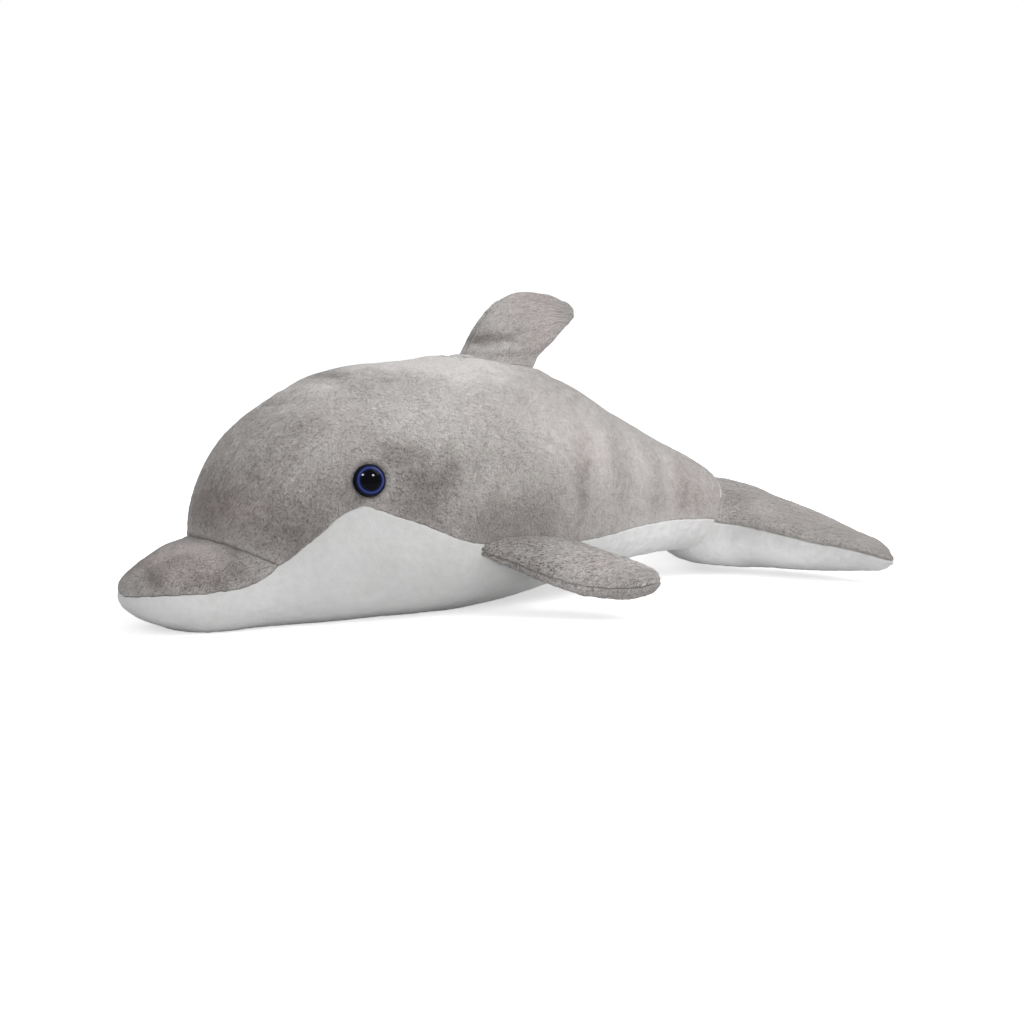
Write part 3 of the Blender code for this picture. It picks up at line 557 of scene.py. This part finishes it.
def body_panel(name, first, last, low, high, seams, seed, mirror=False):
    """One panel of the body, from its profile lines to a finished mesh.

    first and last are its stations, low and high give its turns, and seams holds the radius with
    which each of its sewn edges rolls in.
    """
    points, turn = body_grid(first, last, low, high)
    normal = normals_of(points)
    if first < 0.0:
        normal[0] = (-1.0, 0.0, 0.0)
    gaps = edge_distances(points)
    meeting = {"back_left": "front", "back_right": "front", "beak": "back"}.get(name)
    if meeting:
        pull = seam_direction(turn[0 if meeting == "front" else -1])
        share = np.exp(-(gaps[meeting] / 1.6) ** 2)[..., None]
        normal = normal * (1.0 - share) + pull * share
        normal /= np.linalg.norm(normal, axis=-1, keepdims=True)
    if mirror:
        points = points * MIRROR
        normal = normal * MIRROR
    distance = np.min([gaps[edge] for edge in seams], axis=0)
    relief = pile_relief(points, BODY_SEED) * np.clip(distance / 3.0, 0.25, 1.0)
    relief += 0.30 * noise(points, 5.5, BODY_SEED + 5) * np.exp(-distance / 4.0)
    relief += fold_relief(points) + root_relief(points) + eye_relief(points)
    relief -= np.max([roll_in(gaps[edge], radius) for edge, radius in seams.items()], axis=0)
    coarse = np.clip(0.55 - points[..., 0] / 110.0, 0.45, 1.0)
    looks = looks_of(points, seed, coarse)
    # Painted shade in the crease round the dorsal fin's root
    looks["nap_and_painted_light"] -= ROOT_SHADE * np.exp(-(root_distance(points) / 1.5) ** 2)
    if last > 0.0:
        relief -= TAIL_PINCH * np.exp(-(gaps["back"] / 3.5) ** 2)
        looks["nap_and_painted_light"] += TAIL_LIGHT * np.exp(-((gaps["back"] - 1.1) / 1.1) ** 2)
    outer = points + normal * relief[..., None]
    beside = np.minimum(gaps["low"], gaps["high"]) if first < 0.0 else gaps["low"]
    ragged = SEAM_RAGGED * noise(points, 1.9, BODY_SEED + 6)
    outer[..., 2] += ragged * np.exp(-beside / 0.9)
    outer[..., 2] = np.maximum(outer[..., 2], 0.0)
    inner = points - BODY_SHELL * normal
    inner[..., 2] = np.maximum(inner[..., 2], BODY_SHELL / 2)
    layers = {"lay": lay_map(points) + seed * 37.0, **looks}
    return closed_panel(name, outer, inner, layers, mirror)


def fixed(turn):
    """A function that gives the same turn at every station."""
    return lambda station: np.full(np.shape(station), turn)


def pillow(lead, trail, up, rise, drop, angle):
    """Points of a stuffed fin between its leading and its trailing edge seam."""
    middle, half = (lead + trail) / 2, (trail - lead) / 2
    sine = np.sin(angle)
    height = np.where(sine >= 0.0, rise[:, None], drop[:, None])
    height = height * np.sign(sine) * np.abs(sine) ** FIN_FULLNESS
    flat = middle[:, None] - half[:, None] * np.cos(angle)[..., None]
    return flat + up[:, None] * height[..., None]


def rounded_tip(lead, trail, up, rise, drop, bulge):
    """Rows that close a fin's end with a small round."""
    middle, half = (lead[-1] + trail[-1]) / 2, (trail[-1] - lead[-1]) / 2
    outward = middle - (lead[-4] + trail[-4]) / 2
    outward -= half * (outward @ half) / (half @ half)
    outward /= np.linalg.norm(outward)
    bulge = min(bulge, np.linalg.norm(half) * 0.8)
    turn = np.radians(TIP_TURNS)
    centre = middle + outward * (np.sin(turn) * bulge)[:, None]
    shrink = np.cos(turn)
    return (
        np.vstack([lead, centre - half * shrink[:, None]]),
        np.vstack([trail, centre + half * shrink[:, None]]),
        np.vstack([up, np.tile(up[-1], (len(turn), 1))]),
        np.concatenate([rise, rise[-1] * shrink]),
        np.concatenate([drop, drop[-1] * shrink]),
    )


def stuffed_fin(name, rows, seed, coarse, both_tips=False, under_index=0, bulge=TIP_ROUND):
    """A closed, stuffed fin with a rolled-in seam round its edge.

    under_index is the number of the material on its underside.
    """
    lead, trail, up, rise, drop = rows
    lead, trail, up, rise, drop = rounded_tip(lead, trail, up, rise, drop, bulge)
    if both_tips:
        turned = [part[::-1] for part in (lead, trail, up, rise, drop)]
        lead, trail, up, rise, drop = rounded_tip(*turned, bulge)

    fine = np.linspace(0.0, 1.0, 160)
    halves = []
    for sign in (1.0, -1.0):
        angle = np.tile(fine * np.pi * sign, (len(lead), 1))
        width = arc(pillow(lead, trail, up, rise, drop, angle), 1)
        columns = max(24, int(np.percentile(width[:, -1], 80) / GRAIN))
        wanted = spread(width[:, -1], columns)
        share = np.array([np.interp(w, have, fine) for w, have in zip(wanted, width)])
        points = pillow(lead, trail, up, rise, drop, share * np.pi * sign)
        gaps = edge_distances(points)
        halves.append((points, np.minimum(gaps["low"], gaps["high"])))
    top, under = halves
    points = np.concatenate([top[0], under[0][:, -2:0:-1]], axis=1)
    distance = np.concatenate([top[1], under[1][:, -2:0:-1]], axis=1)

    looped = np.concatenate([points[:, -1:], points, points[:, :1]], axis=1)
    along = np.gradient(looped, axis=0)
    around = np.gradient(looped, axis=1)
    normal = np.cross(around, along)[:, 1:-1]
    normal /= np.maximum(np.linalg.norm(normal, axis=-1, keepdims=True), 1e-9)
    centre = points.mean(axis=1, keepdims=True)
    if ((points - centre) * normal).sum() < 0.0:
        normal = -normal

    run = arc(lead[:, None], 0)[:, 0]
    run = np.stack([run, 0 * run, 0 * run + seed], axis=-1)
    pucker, sway = noise(run, 5.5, seed + 9), noise(run, 3.2, seed + 12)
    slim = np.clip((rise + drop) / 6.0, 0.15, 1.0)[:, None]
    relief = pile_relief(points, seed) * slim * np.clip(distance / 2.0, 0.3, 1.0)
    relief -= roll_in(distance, FIN_ROLL) * slim
    relief += 0.35 * slim * pucker[:, None] * np.exp(-distance / 3.5)
    relief += fold_relief(points) * slim
    tufts = noise(points, 1.9, seed + 15) + 0.8 * noise(points, 3.6, seed + 16)
    relief += 0.30 * max(0.0, coarse - 1.0) * slim * tufts * np.clip(distance, 0.0, 1.0)
    outer = points + normal * relief[..., None]
    ragged = FIN_SEAM_RAGGED * slim * sway[:, None] * np.exp(-distance / 1.3)
    outer += up[:, None] * ragged[..., None]

    count, columns = outer.shape[:2]
    index = np.arange(count * columns).reshape(count, columns)
    nxt = np.roll(index, -1, axis=1)
    cells = np.stack([index[:-1], nxt[:-1], nxt[1:], index[1:]], axis=-1)
    ends = [(count * columns, 0), (count * columns + 1, count - 1)]
    flip = np.dot(np.cross(outer[1, 0] - outer[0, 0], outer[0, 1] - outer[0, 0]), normal[0, 0]) > 0
    faces = cells.reshape(-1, 4).tolist()
    below = (np.arange(columns) >= top[0].shape[1] - 1) * under_index
    side = np.tile(below, count + 1).tolist()
    for hub, row in ends:
        for j in range(columns):
            face = (index[row, j], nxt[row, j], hub)
            faces.append(face[::-1] if row == 0 else face)
    if flip:
        faces = [face[::-1] for face in faces]
    points_out = np.vstack([outer.reshape(-1, 3), outer[0].mean(axis=0), outer[-1].mean(axis=0)])
    lay = np.stack([arc(points, 0), arc(points, 1), np.zeros(points.shape[:2])], axis=-1)
    lay = np.vstack([lay.reshape(-1, 3), np.zeros((2, 3))]) + seed * 37.0
    layers = {"lay": lay, **looks_of(points_out, seed, coarse)}
    return make_mesh(name, points_out, faces, layers, side)


def dense(rows, length):
    """Many rows on a smooth curve through the rows of a fin."""
    return smooth_curve(rows, np.linspace(0, len(rows) - 1, int(length / GRAIN) + 1))


def dorsal_rows():
    """Leading and trailing points, directions of the rise, rises and drops of the dorsal fin."""
    row = dense(DORSAL_ROWS, DORSAL_RUN)
    start = np.array([
        DORSAL_AT[0] / 100 * BODY_LENGTH - BODY_MIDDLE, 0.0, DORSAL_AT[1] / 100 * BODY_HEIGHT,
    ])
    flat = np.zeros(len(row))
    scale = np.array([DORSAL_CHORD, 1.0, DORSAL_HEIGHT]) / 100
    lead = start + np.stack([row[:, 0], flat, row[:, 1]], axis=1) * scale
    trail = start + np.stack([row[:, 2], flat, row[:, 3]], axis=1) * scale
    half = row[:, 4] / 100 * DORSAL_THICKNESS / 2
    return lead, trail, np.tile((0.0, -1.0, 0.0), (len(row), 1)), half, half


def flipper_rows(side):
    """The same of a flipper. side is -1 for the left one and 1 for the right one."""
    row = dense(FLIPPER_ROWS, FLIPPER_RUN)
    start = np.array([
        FLIPPER_AT[0] / 100 * BODY_LENGTH - BODY_MIDDLE,
        side * FLIPPER_AT[1] / 100 * BODY_WIDTH / 2,
        FLIPPER_AT[2] / 100 * BODY_HEIGHT,
    ])
    direction = np.array([1.0, side, -1.0]) * FLIPPER_LENGTH / 100
    lead = start + row[:, 0:3] * direction
    trail = start + row[:, 3:6] * direction
    span = np.gradient((lead + trail) / 2, axis=0)
    up = np.cross(trail - lead, span) * side
    up /= np.linalg.norm(up, axis=1, keepdims=True)
    rise, drop = row[:, 6] / 100 * FLIPPER_THICKNESS, row[:, 7] / 100 * FLIPPER_THICKNESS
    return lead, trail, up, rise, drop


def fluke_rows():
    """The same of the fluke, from its left tip to its right one."""
    outmost = FLUKE_ROWS[-1][0]
    out = np.linspace(-outmost, outmost, int(FLUKE_RUN / GRAIN) + 1)
    row = smooth_curve(FLUKE_ROWS, np.abs(out)) / 100
    start = FLUKE_AT / 100 * BODY_LENGTH - BODY_MIDDLE
    height = row[:, 2] * FLUKE_THICKNESS
    y = out / 100 * FLUKE_SPAN / 2
    lead = np.stack([start + row[:, 0] * FLUKE_LENGTH, y, height], axis=1)
    trail = np.stack([start + row[:, 1] * FLUKE_LENGTH, y, height], axis=1)
    up = np.tile((0.0, 0.0, 1.0), (len(row), 1))
    return lead, trail, up, row[:, 3] * FLUKE_THICKNESS, row[:, 4] * FLUKE_THICKNESS


class Nodes:
    """Short way to write the node tree of a material or of the world."""

    def __init__(self, owner):
        owner.use_nodes = True
        self.tree = owner.node_tree
        self.shader = self.tree.nodes.get("Principled BSDF")

    def add(self, kind, inputs=(), **settings):
        node = self.tree.nodes.new(kind)
        for key, value in settings.items():
            setattr(node, key, value)
        for key, value in dict(inputs).items():
            self.give(node.inputs[key], value)
        return node

    def give(self, socket, value):
        if isinstance(value, bpy.types.NodeSocket):
            self.tree.links.new(value, socket)
        else:
            socket.default_value = value

    def maths(self, operation, *values, clamp=False):
        settings = {"operation": operation, "use_clamp": clamp}
        return self.add("ShaderNodeMath", dict(enumerate(values)), **settings).outputs[0]

    def vector(self, operation, *values):
        node = self.add("ShaderNodeVectorMath", dict(enumerate(values)), operation=operation)
        return node.outputs[0]

    def mix(self, share, first, second):
        # Sockets 6 and 7 take its two colours, and output 2 gives the mixed one
        node = self.add("ShaderNodeMix", data_type="RGBA")
        for socket, value in ((0, share), (6, first), (7, second)):
            self.give(node.inputs[socket], value)
        return node.outputs[2]

    def ramp(self, value, stops):
        node = self.add("ShaderNodeValToRGB", {"Fac": value})
        elements = node.color_ramp.elements
        while len(elements) < len(stops):
            elements.new(0.5)
        for element, (place, colour) in zip(elements, stops):
            element.position = place
            element.color = colour
        return node.outputs["Color"]


def rgb(*colour):
    """A colour as the nodes want it, with full cover."""
    return (*colour, 1.0)


def plush_material(name, tones, fleck, sheen):
    """Short pile: fine clumps along its lay, with painted shade between them that is deeper where
    it lies dark.

    tones run from dark to light, fleck is the strength of the grain and of its painted shade.
    """
    material = bpy.data.materials.new(name)
    nodes = Nodes(material)
    lay = nodes.add("ShaderNodeAttribute", attribute_name="lay").outputs["Vector"]
    nap_and_painted_light, rosy, coarse = (
        nodes.add("ShaderNodeAttribute", attribute_name=label).outputs["Fac"]
        for label in ("nap_and_painted_light", "rosy", "coarse")
    )
    # Strokes and fibres of the pile, bent by a slow swirl, and the larger clumps
    swirl = nodes.add("ShaderNodeTexNoise", {"Vector": lay, "Scale": 0.22, "Detail": 2.0})
    push = nodes.vector("SUBTRACT", swirl.outputs["Color"], (0.5, 0.5, 0.5))
    push = nodes.vector("MULTIPLY", push, (2.6, 2.6, 0.0))
    bent = nodes.vector("ADD", lay, push)
    along = nodes.add(
        "ShaderNodeMapping",
        {"Vector": bent, "Rotation": (0.0, 0.0, 0.65), "Scale": (0.88, 1.12, 1.0)},
    ).outputs[0]
    strokes = nodes.add(
        "ShaderNodeTexNoise", {"Vector": along, "Scale": 1.20, "Detail": 2.5, "Roughness": 0.72},
    ).outputs["Fac"]
    fibres = nodes.add(
        "ShaderNodeTexNoise", {"Vector": along, "Scale": 2.7, "Detail": 1.0, "Roughness": 0.6},
    ).outputs["Fac"]
    clumps = nodes.add(
        "ShaderNodeTexNoise", {"Vector": bent, "Scale": 0.30, "Detail": 3.0, "Roughness": 0.60},
    ).outputs["Fac"]

    # Tone by the way the pile lies and by the painted light and shade carried with it, and its rosy
    # places
    patch = nodes.maths("MULTIPLY_ADD", nap_and_painted_light, 0.5, 0.5)
    patch = nodes.maths("ADD", patch, nodes.maths("MULTIPLY_ADD", clumps, 0.5, -0.25), clamp=True)
    places = (0.0, 0.3, 0.6, 1.0)
    colour = nodes.ramp(patch, [(place, rgb(*tone)) for place, tone in zip(places, tones)])
    rosier = nodes.vector("MULTIPLY", colour, (1.035, 0.965, 0.985))
    colour = nodes.mix(rosy, colour, rosier)

    # Grain: painted shade between the strokes and the tufts, held back on its light side
    tufts = nodes.add(
        "ShaderNodeTexVoronoi", {"Vector": along, "Scale": 0.80}, voronoi_dimensions="2D",
    ).outputs["Distance"]
    value = nodes.maths("MULTIPLY_ADD", fibres, 0.40, -0.45)
    value = nodes.maths("MULTIPLY_ADD", strokes, 0.50, value)
    value = nodes.maths("ADD", value, nodes.maths("MULTIPLY_ADD", tufts, -0.12, 0.05))
    value = nodes.maths("MINIMUM", value, nodes.maths("MULTIPLY_ADD", value, 0.5, 0.012))
    depth = nodes.maths("MULTIPLY", nodes.maths("MULTIPLY_ADD", patch, -0.85, 1.30), coarse)
    depth = nodes.maths("MULTIPLY", depth, fleck)
    shade = nodes.maths("MULTIPLY_ADD", nodes.maths("ADD", value, 0.040), depth, 1.0)
    shaded = nodes.add("ShaderNodeVectorMath", {0: colour, "Scale": shade}, operation="SCALE")
    nodes.give(nodes.shader.inputs["Base Color"], shaded.outputs[0])

    bump = nodes.add(
        "ShaderNodeBump",
        {"Height": nodes.maths("MULTIPLY", value, depth), "Strength": 0.7, "Distance": 0.0014},
    ).outputs["Normal"]
    nodes.give(nodes.shader.inputs["Normal"], bump)
    nodes.give(nodes.shader.inputs["Roughness"], nodes.maths("MULTIPLY_ADD", strokes, -0.12, 0.98))
    nodes.shader.inputs["Specular IOR Level"].default_value = 0.12
    nodes.shader.inputs["Sheen Weight"].default_value = sheen
    nodes.shader.inputs["Sheen Roughness"].default_value = 0.5
    nodes.shader.inputs["Sheen Tint"].default_value = (1.0, 0.99, 0.98, 1.0)
    return material


def eye_material():
    """Glossy dome over a black pupil, a blue ring and a dark edge, by distance from the axis."""
    material = bpy.data.materials.new("eye_plastic_look")
    nodes = Nodes(material)
    place = nodes.add("ShaderNodeTexCoord").outputs["Object"]
    flat = nodes.vector("MULTIPLY", place, (1.0, 1.0, 0.0))
    reach = nodes.add("ShaderNodeVectorMath", {0: flat}, operation="LENGTH").outputs["Value"]
    share = nodes.maths("DIVIDE", reach, EYE_DIAMETER / 2 * MM)
    streak = nodes.add("ShaderNodeTexNoise", {"Vector": place, "Scale": 900.0, "Detail": 2.0})
    streak = streak.outputs["Fac"]
    share = nodes.maths("ADD", share, nodes.maths("MULTIPLY_ADD", streak, 0.03, -0.015))
    colour = nodes.ramp(share, [
        (0.0, rgb(0.0004, 0.0004, 0.0006)), (0.58, rgb(0.0005, 0.0006, 0.003)),
        (0.67, rgb(0.004, 0.006, 0.036)), (0.74, rgb(0.036, 0.058, 0.210)),
        (0.80, rgb(0.028, 0.042, 0.160)), (0.85, rgb(0.002, 0.003, 0.022)),
        (0.93, rgb(0.001, 0.0015, 0.010)), (1.0, rgb(0.0008, 0.0010, 0.003)),
    ])
    nodes.give(nodes.shader.inputs["Base Color"], colour)
    nodes.give(nodes.shader.inputs["Roughness"], nodes.maths("MULTIPLY_ADD", streak, 0.03, 0.035))
    nodes.shader.inputs["IOR"].default_value = 1.49
    nodes.shader.inputs["Specular IOR Level"].default_value = 0.06
    return material


def nylon_material():
    """Plain moulded nylon with a faint grain, for the washers inside."""
    material = bpy.data.materials.new("washer_nylon_look")
    nodes = Nodes(material)
    place = nodes.add("ShaderNodeTexCoord").outputs["Object"]
    grain = nodes.add("ShaderNodeTexNoise", {"Vector": place, "Scale": 1400.0, "Detail": 3.0})
    grain = grain.outputs["Fac"]
    colour = nodes.ramp(grain, [(0.3, rgb(0.62, 0.62, 0.60)), (0.7, rgb(0.74, 0.74, 0.73))])
    nodes.give(nodes.shader.inputs["Base Color"], colour)
    nodes.give(nodes.shader.inputs["Roughness"], nodes.maths("MULTIPLY_ADD", grain, 0.2, 0.35))
    bump = nodes.add("ShaderNodeBump", {"Height": grain, "Strength": 0.2, "Distance": 0.0001})
    nodes.give(nodes.shader.inputs["Normal"], bump.outputs["Normal"])
    return material


def make_eye(name, side, material):
    """A domed safety eye, turned in fine steps, where the CAD eye sits."""
    radius = EYE_DIAMETER / 2
    dome = EYE_DOME - EYE_PRESSED
    outline = [(0.0, EYE_RIM + dome)]
    for angle in np.radians(np.arange(4, 91, 4)):
        outline.append((radius * math.sin(angle), EYE_RIM + dome * math.cos(angle)))
    outline += [
        (radius, EYE_RIM), (radius * 1.005, 0.5), (radius * 0.97, 0.0),
        (SHANK_RADIUS + 0.5, 0.0), (SHANK_RADIUS, -0.5), (SHANK_RADIUS, 1.0 - SHANK_LENGTH),
        (0.7 * SHANK_RADIUS, -SHANK_LENGTH), (0.0, -SHANK_LENGTH),
    ]
    points, faces = [], []
    for reach, height in outline:
        for angle in (math.tau * k / EYE_SIDES for k in range(EYE_SIDES)):
            points.append((reach * math.cos(angle), reach * math.sin(angle), height))
    for upper in range(0, (len(outline) - 1) * EYE_SIDES, EYE_SIDES):
        lower = upper + EYE_SIDES
        for k in range(EYE_SIDES):
            nxt = (k + 1) % EYE_SIDES
            faces.append((upper + k, lower + k, lower + nxt, upper + nxt))
    eye = make_mesh(name, np.array(points, float), faces, {})
    station, turn = np.array([EYE_AT[0]]), np.array([EYE_AT[1]])
    step = 0.002
    spot = body_surface(station, turn)[0]
    along = body_surface(station + step, turn)[0] - body_surface(station - step, turn)[0]
    around = body_surface(station, turn + step)[0] - body_surface(station, turn - step)[0]
    outward = np.cross(along, around)
    flip = np.array([1.0, -side, 1.0])
    outward = Vector((outward * flip).tolist()).normalized()
    spot = Vector((spot * flip).tolist())
    turned = outward.to_track_quat("Z", "X").to_matrix().to_4x4()
    eye.matrix_world = Matrix.Translation((spot + outward * EYE_SEAT_GAP) * MM) @ turned
    eye.data.materials.append(material)
    return eye


def dress(piece, materials, nodes):
    """Give a piece its materials, its place in the frame and what it stands for."""
    for material in materials:
        piece.data.materials.append(material)
    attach(piece, "root")
    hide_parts(*nodes)


# Tones, strength of the grain and sheen of the two plushes
grey = plush_material("grey_plush_look", [
    (0.185, 0.166, 0.157), (0.285, 0.264, 0.252), (0.425, 0.404, 0.390), (0.600, 0.580, 0.568),
], 3.7, 0.30)
white = plush_material("white_plush_look", [
    (0.545, 0.547, 0.543), (0.590, 0.593, 0.589), (0.645, 0.648, 0.645), (0.830, 0.833, 0.832),
], 0.26, 0.18)

# The body. Each piece has a seed for its noise.
back_seams = {"front": BEAK_ROLL, "back": TAIL_ROLL, "low": BELLY_ROLL, "high": SPINE_ROLL}
beak_seams = {"back": BEAK_ROLL, "low": BELLY_ROLL, "high": BELLY_ROLL}
belly_seams = {"back": TAIL_ROLL, "low": BELLY_ROLL, "high": BELLY_ROLL}
left = body_panel("back_left", 0.0, 1.0, seam_turn, fixed(1.0), back_seams, 11)
right = body_panel("back_right", 0.0, 1.0, seam_turn, fixed(1.0), back_seams, 23, mirror=True)
beak = body_panel("beak", -1.0, 0.0, fixed(0.5), fixed(1.5), beak_seams, 35)
belly = body_panel("belly", -1.0, 1.0, lambda s: -seam_turn(s), seam_turn, belly_seams, 47)
dress(left, [grey], ["back_left_panel"])
dress(right, [grey], ["back_right_panel"])
dress(beak, [grey], ["beak_panel"])
dress(belly, [white], ["belly_panel", "body_stuffing"])

# The fins. The number after the seed is the coarseness of the pile.
dorsal = stuffed_fin("dorsal_fin", dorsal_rows(), 59, 0.7, bulge=1.0)
names = [f"dorsal_fin_{part}" for part in ("left_panel", "right_panel", "stuffing")]
dress(dorsal, [grey], names)
for side, word, seed in ((-1, "left", 71), (1, "right", 83)):
    flipper = stuffed_fin(f"flipper_{word}", flipper_rows(side), seed, 2.0)
    names = [f"flipper_{word}_{part}" for part in ("top_panel", "bottom_panel", "stuffing")]
    dress(flipper, [grey], names)
fluke = stuffed_fin("fluke", fluke_rows(), 95, 1.0, both_tips=True, under_index=1)
names = [f"fluke_{part}" for part in ("top_panel", "bottom_panel", "stuffing")]
dress(fluke, [grey, white], names)

# The eyes and their washers
eye_look = eye_material()
for side, word in ((-1, "left"), (1, "right")):
    dress(make_eye(f"glossy_eye_{word}", side, eye_look), [], [f"eye_{word}"])
nylon = nylon_material()
for word in ("left", "right"):
    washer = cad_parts[f"eye_washer_{word}"]
    washer.data.materials.clear()
    washer.data.materials.append(nylon)

# Floor, light and camera. Places are in metres.
FLOOR_HALF = 6.0          # half the side of the floor
FLOOR_GLOW = 0.58         # how much lighter the camera sees the floor than it is
ROOM_LIGHT = 0.575        # light of the white room, which the camera sees at 1
EYE_SPOT = (-0.078, -0.040, 0.056)
LENS, SENSOR = 80.7, 36.0
CAMERA_PLACE = (-0.5053, -0.7409, 0.1430)
CAMERA_RIGHT = (0.81915, -0.57358, 0.0)
CAMERA_BACK = (-0.5693, -0.8130, 0.1219)


def open_ray(nodes):
    """1 for a ray that the camera, a gloss or a clear piece sends, and 0 for any other."""
    rays = nodes.add("ShaderNodeLightPath").outputs
    ray = nodes.maths("MAXIMUM", rays["Is Glossy Ray"], rays["Is Transmission Ray"])
    return nodes.maths("MAXIMUM", ray, rays["Is Camera Ray"])


scene = bpy.context.scene
scene.view_settings.view_transform = "Standard"

floor_mesh = bpy.data.meshes.new("floor")
corners = [(x * FLOOR_HALF, y * FLOOR_HALF, 0) for x, y in ((-1, -1), (1, -1), (1, 1), (-1, 1))]
floor_mesh.from_pydata(corners, [], [(0, 1, 2, 3)])
floor = bpy.data.objects.new("floor", floor_mesh)
scene.collection.objects.link(floor)
floor_material = bpy.data.materials.new("floor_paper")
floor_nodes = Nodes(floor_material)
tree = floor_nodes.tree
tree.nodes.remove(floor_nodes.shader)
output = tree.nodes["Material Output"]
paper = floor_nodes.add("ShaderNodeBsdfDiffuse", {"Color": rgb(0.80, 0.80, 0.80)}).outputs[0]
glow = {"Color": rgb(1.0, 1.0, 1.0), "Strength": FLOOR_GLOW}
glow = floor_nodes.add("ShaderNodeEmission", glow).outputs[0]
lit = floor_nodes.add("ShaderNodeAddShader", {0: paper, 1: glow}).outputs[0]
choice = floor_nodes.add("ShaderNodeMixShader", {0: open_ray(floor_nodes), 1: paper, 2: lit})
floor_nodes.give(output.inputs["Surface"], choice.outputs[0])
floor_mesh.materials.append(floor_material)

world = bpy.data.worlds.new("studio")
scene.world = world
world_nodes = Nodes(world)
strength = {"Value": open_ray(world_nodes), "To Min": ROOM_LIGHT, "To Max": 1.0}
strength = world_nodes.add("ShaderNodeMapRange", strength).outputs["Result"]
sky = world_nodes.tree.nodes["Background"]
world_nodes.give(sky.inputs["Color"], rgb(1.0, 1.0, 1.0))
world_nodes.give(sky.inputs["Strength"], strength)


def area_light(name, place, target, size, power):
    """A soft rectangular light that points at its target."""
    data = bpy.data.lights.new(name, "AREA")
    data.shape = "RECTANGLE"
    data.size, data.size_y = size
    data.energy = power
    light = bpy.data.objects.new(name, data)
    light.location = place
    aim = Vector(target) - Vector(place)
    light.rotation_euler = aim.to_track_quat("-Z", "Y").to_euler()
    scene.collection.objects.link(light)
    return light


area_light("key", (0.60, -0.60, 1.00), (0.0, 0.0, 0.05), (0.9, 0.9), 9.7)
front = area_light("front", (-0.55, -1.15, 0.40), (-0.02, 0.0, 0.03), (0.9, 0.5), 3.3)
front.visible_glossy = False
# Two small lights that show only as glints in the eye
for light in (
    area_light("glint_left", (-0.659, -0.594, 0.659), EYE_SPOT, (0.17, 0.13), 10.0),
    area_light("glint_right", (0.025, -0.899, 0.565), EYE_SPOT, (0.15, 0.12), 7.0),
):
    light.visible_diffuse = False

camera_data = bpy.data.cameras.new("camera")
camera_data.sensor_width = SENSOR
camera_data.lens = LENS
camera_data.clip_start = 0.01
camera = bpy.data.objects.new("camera", camera_data)
right_axis = Vector(CAMERA_RIGHT)
back_axis = Vector(CAMERA_BACK).normalized()
up_axis = back_axis.cross(right_axis).normalized()
rotation = Matrix((right_axis, up_axis, back_axis)).transposed().to_4x4()
camera.matrix_world = Matrix.Translation(CAMERA_PLACE) @ rotation
scene.collection.objects.link(camera)
scene.camera = camera
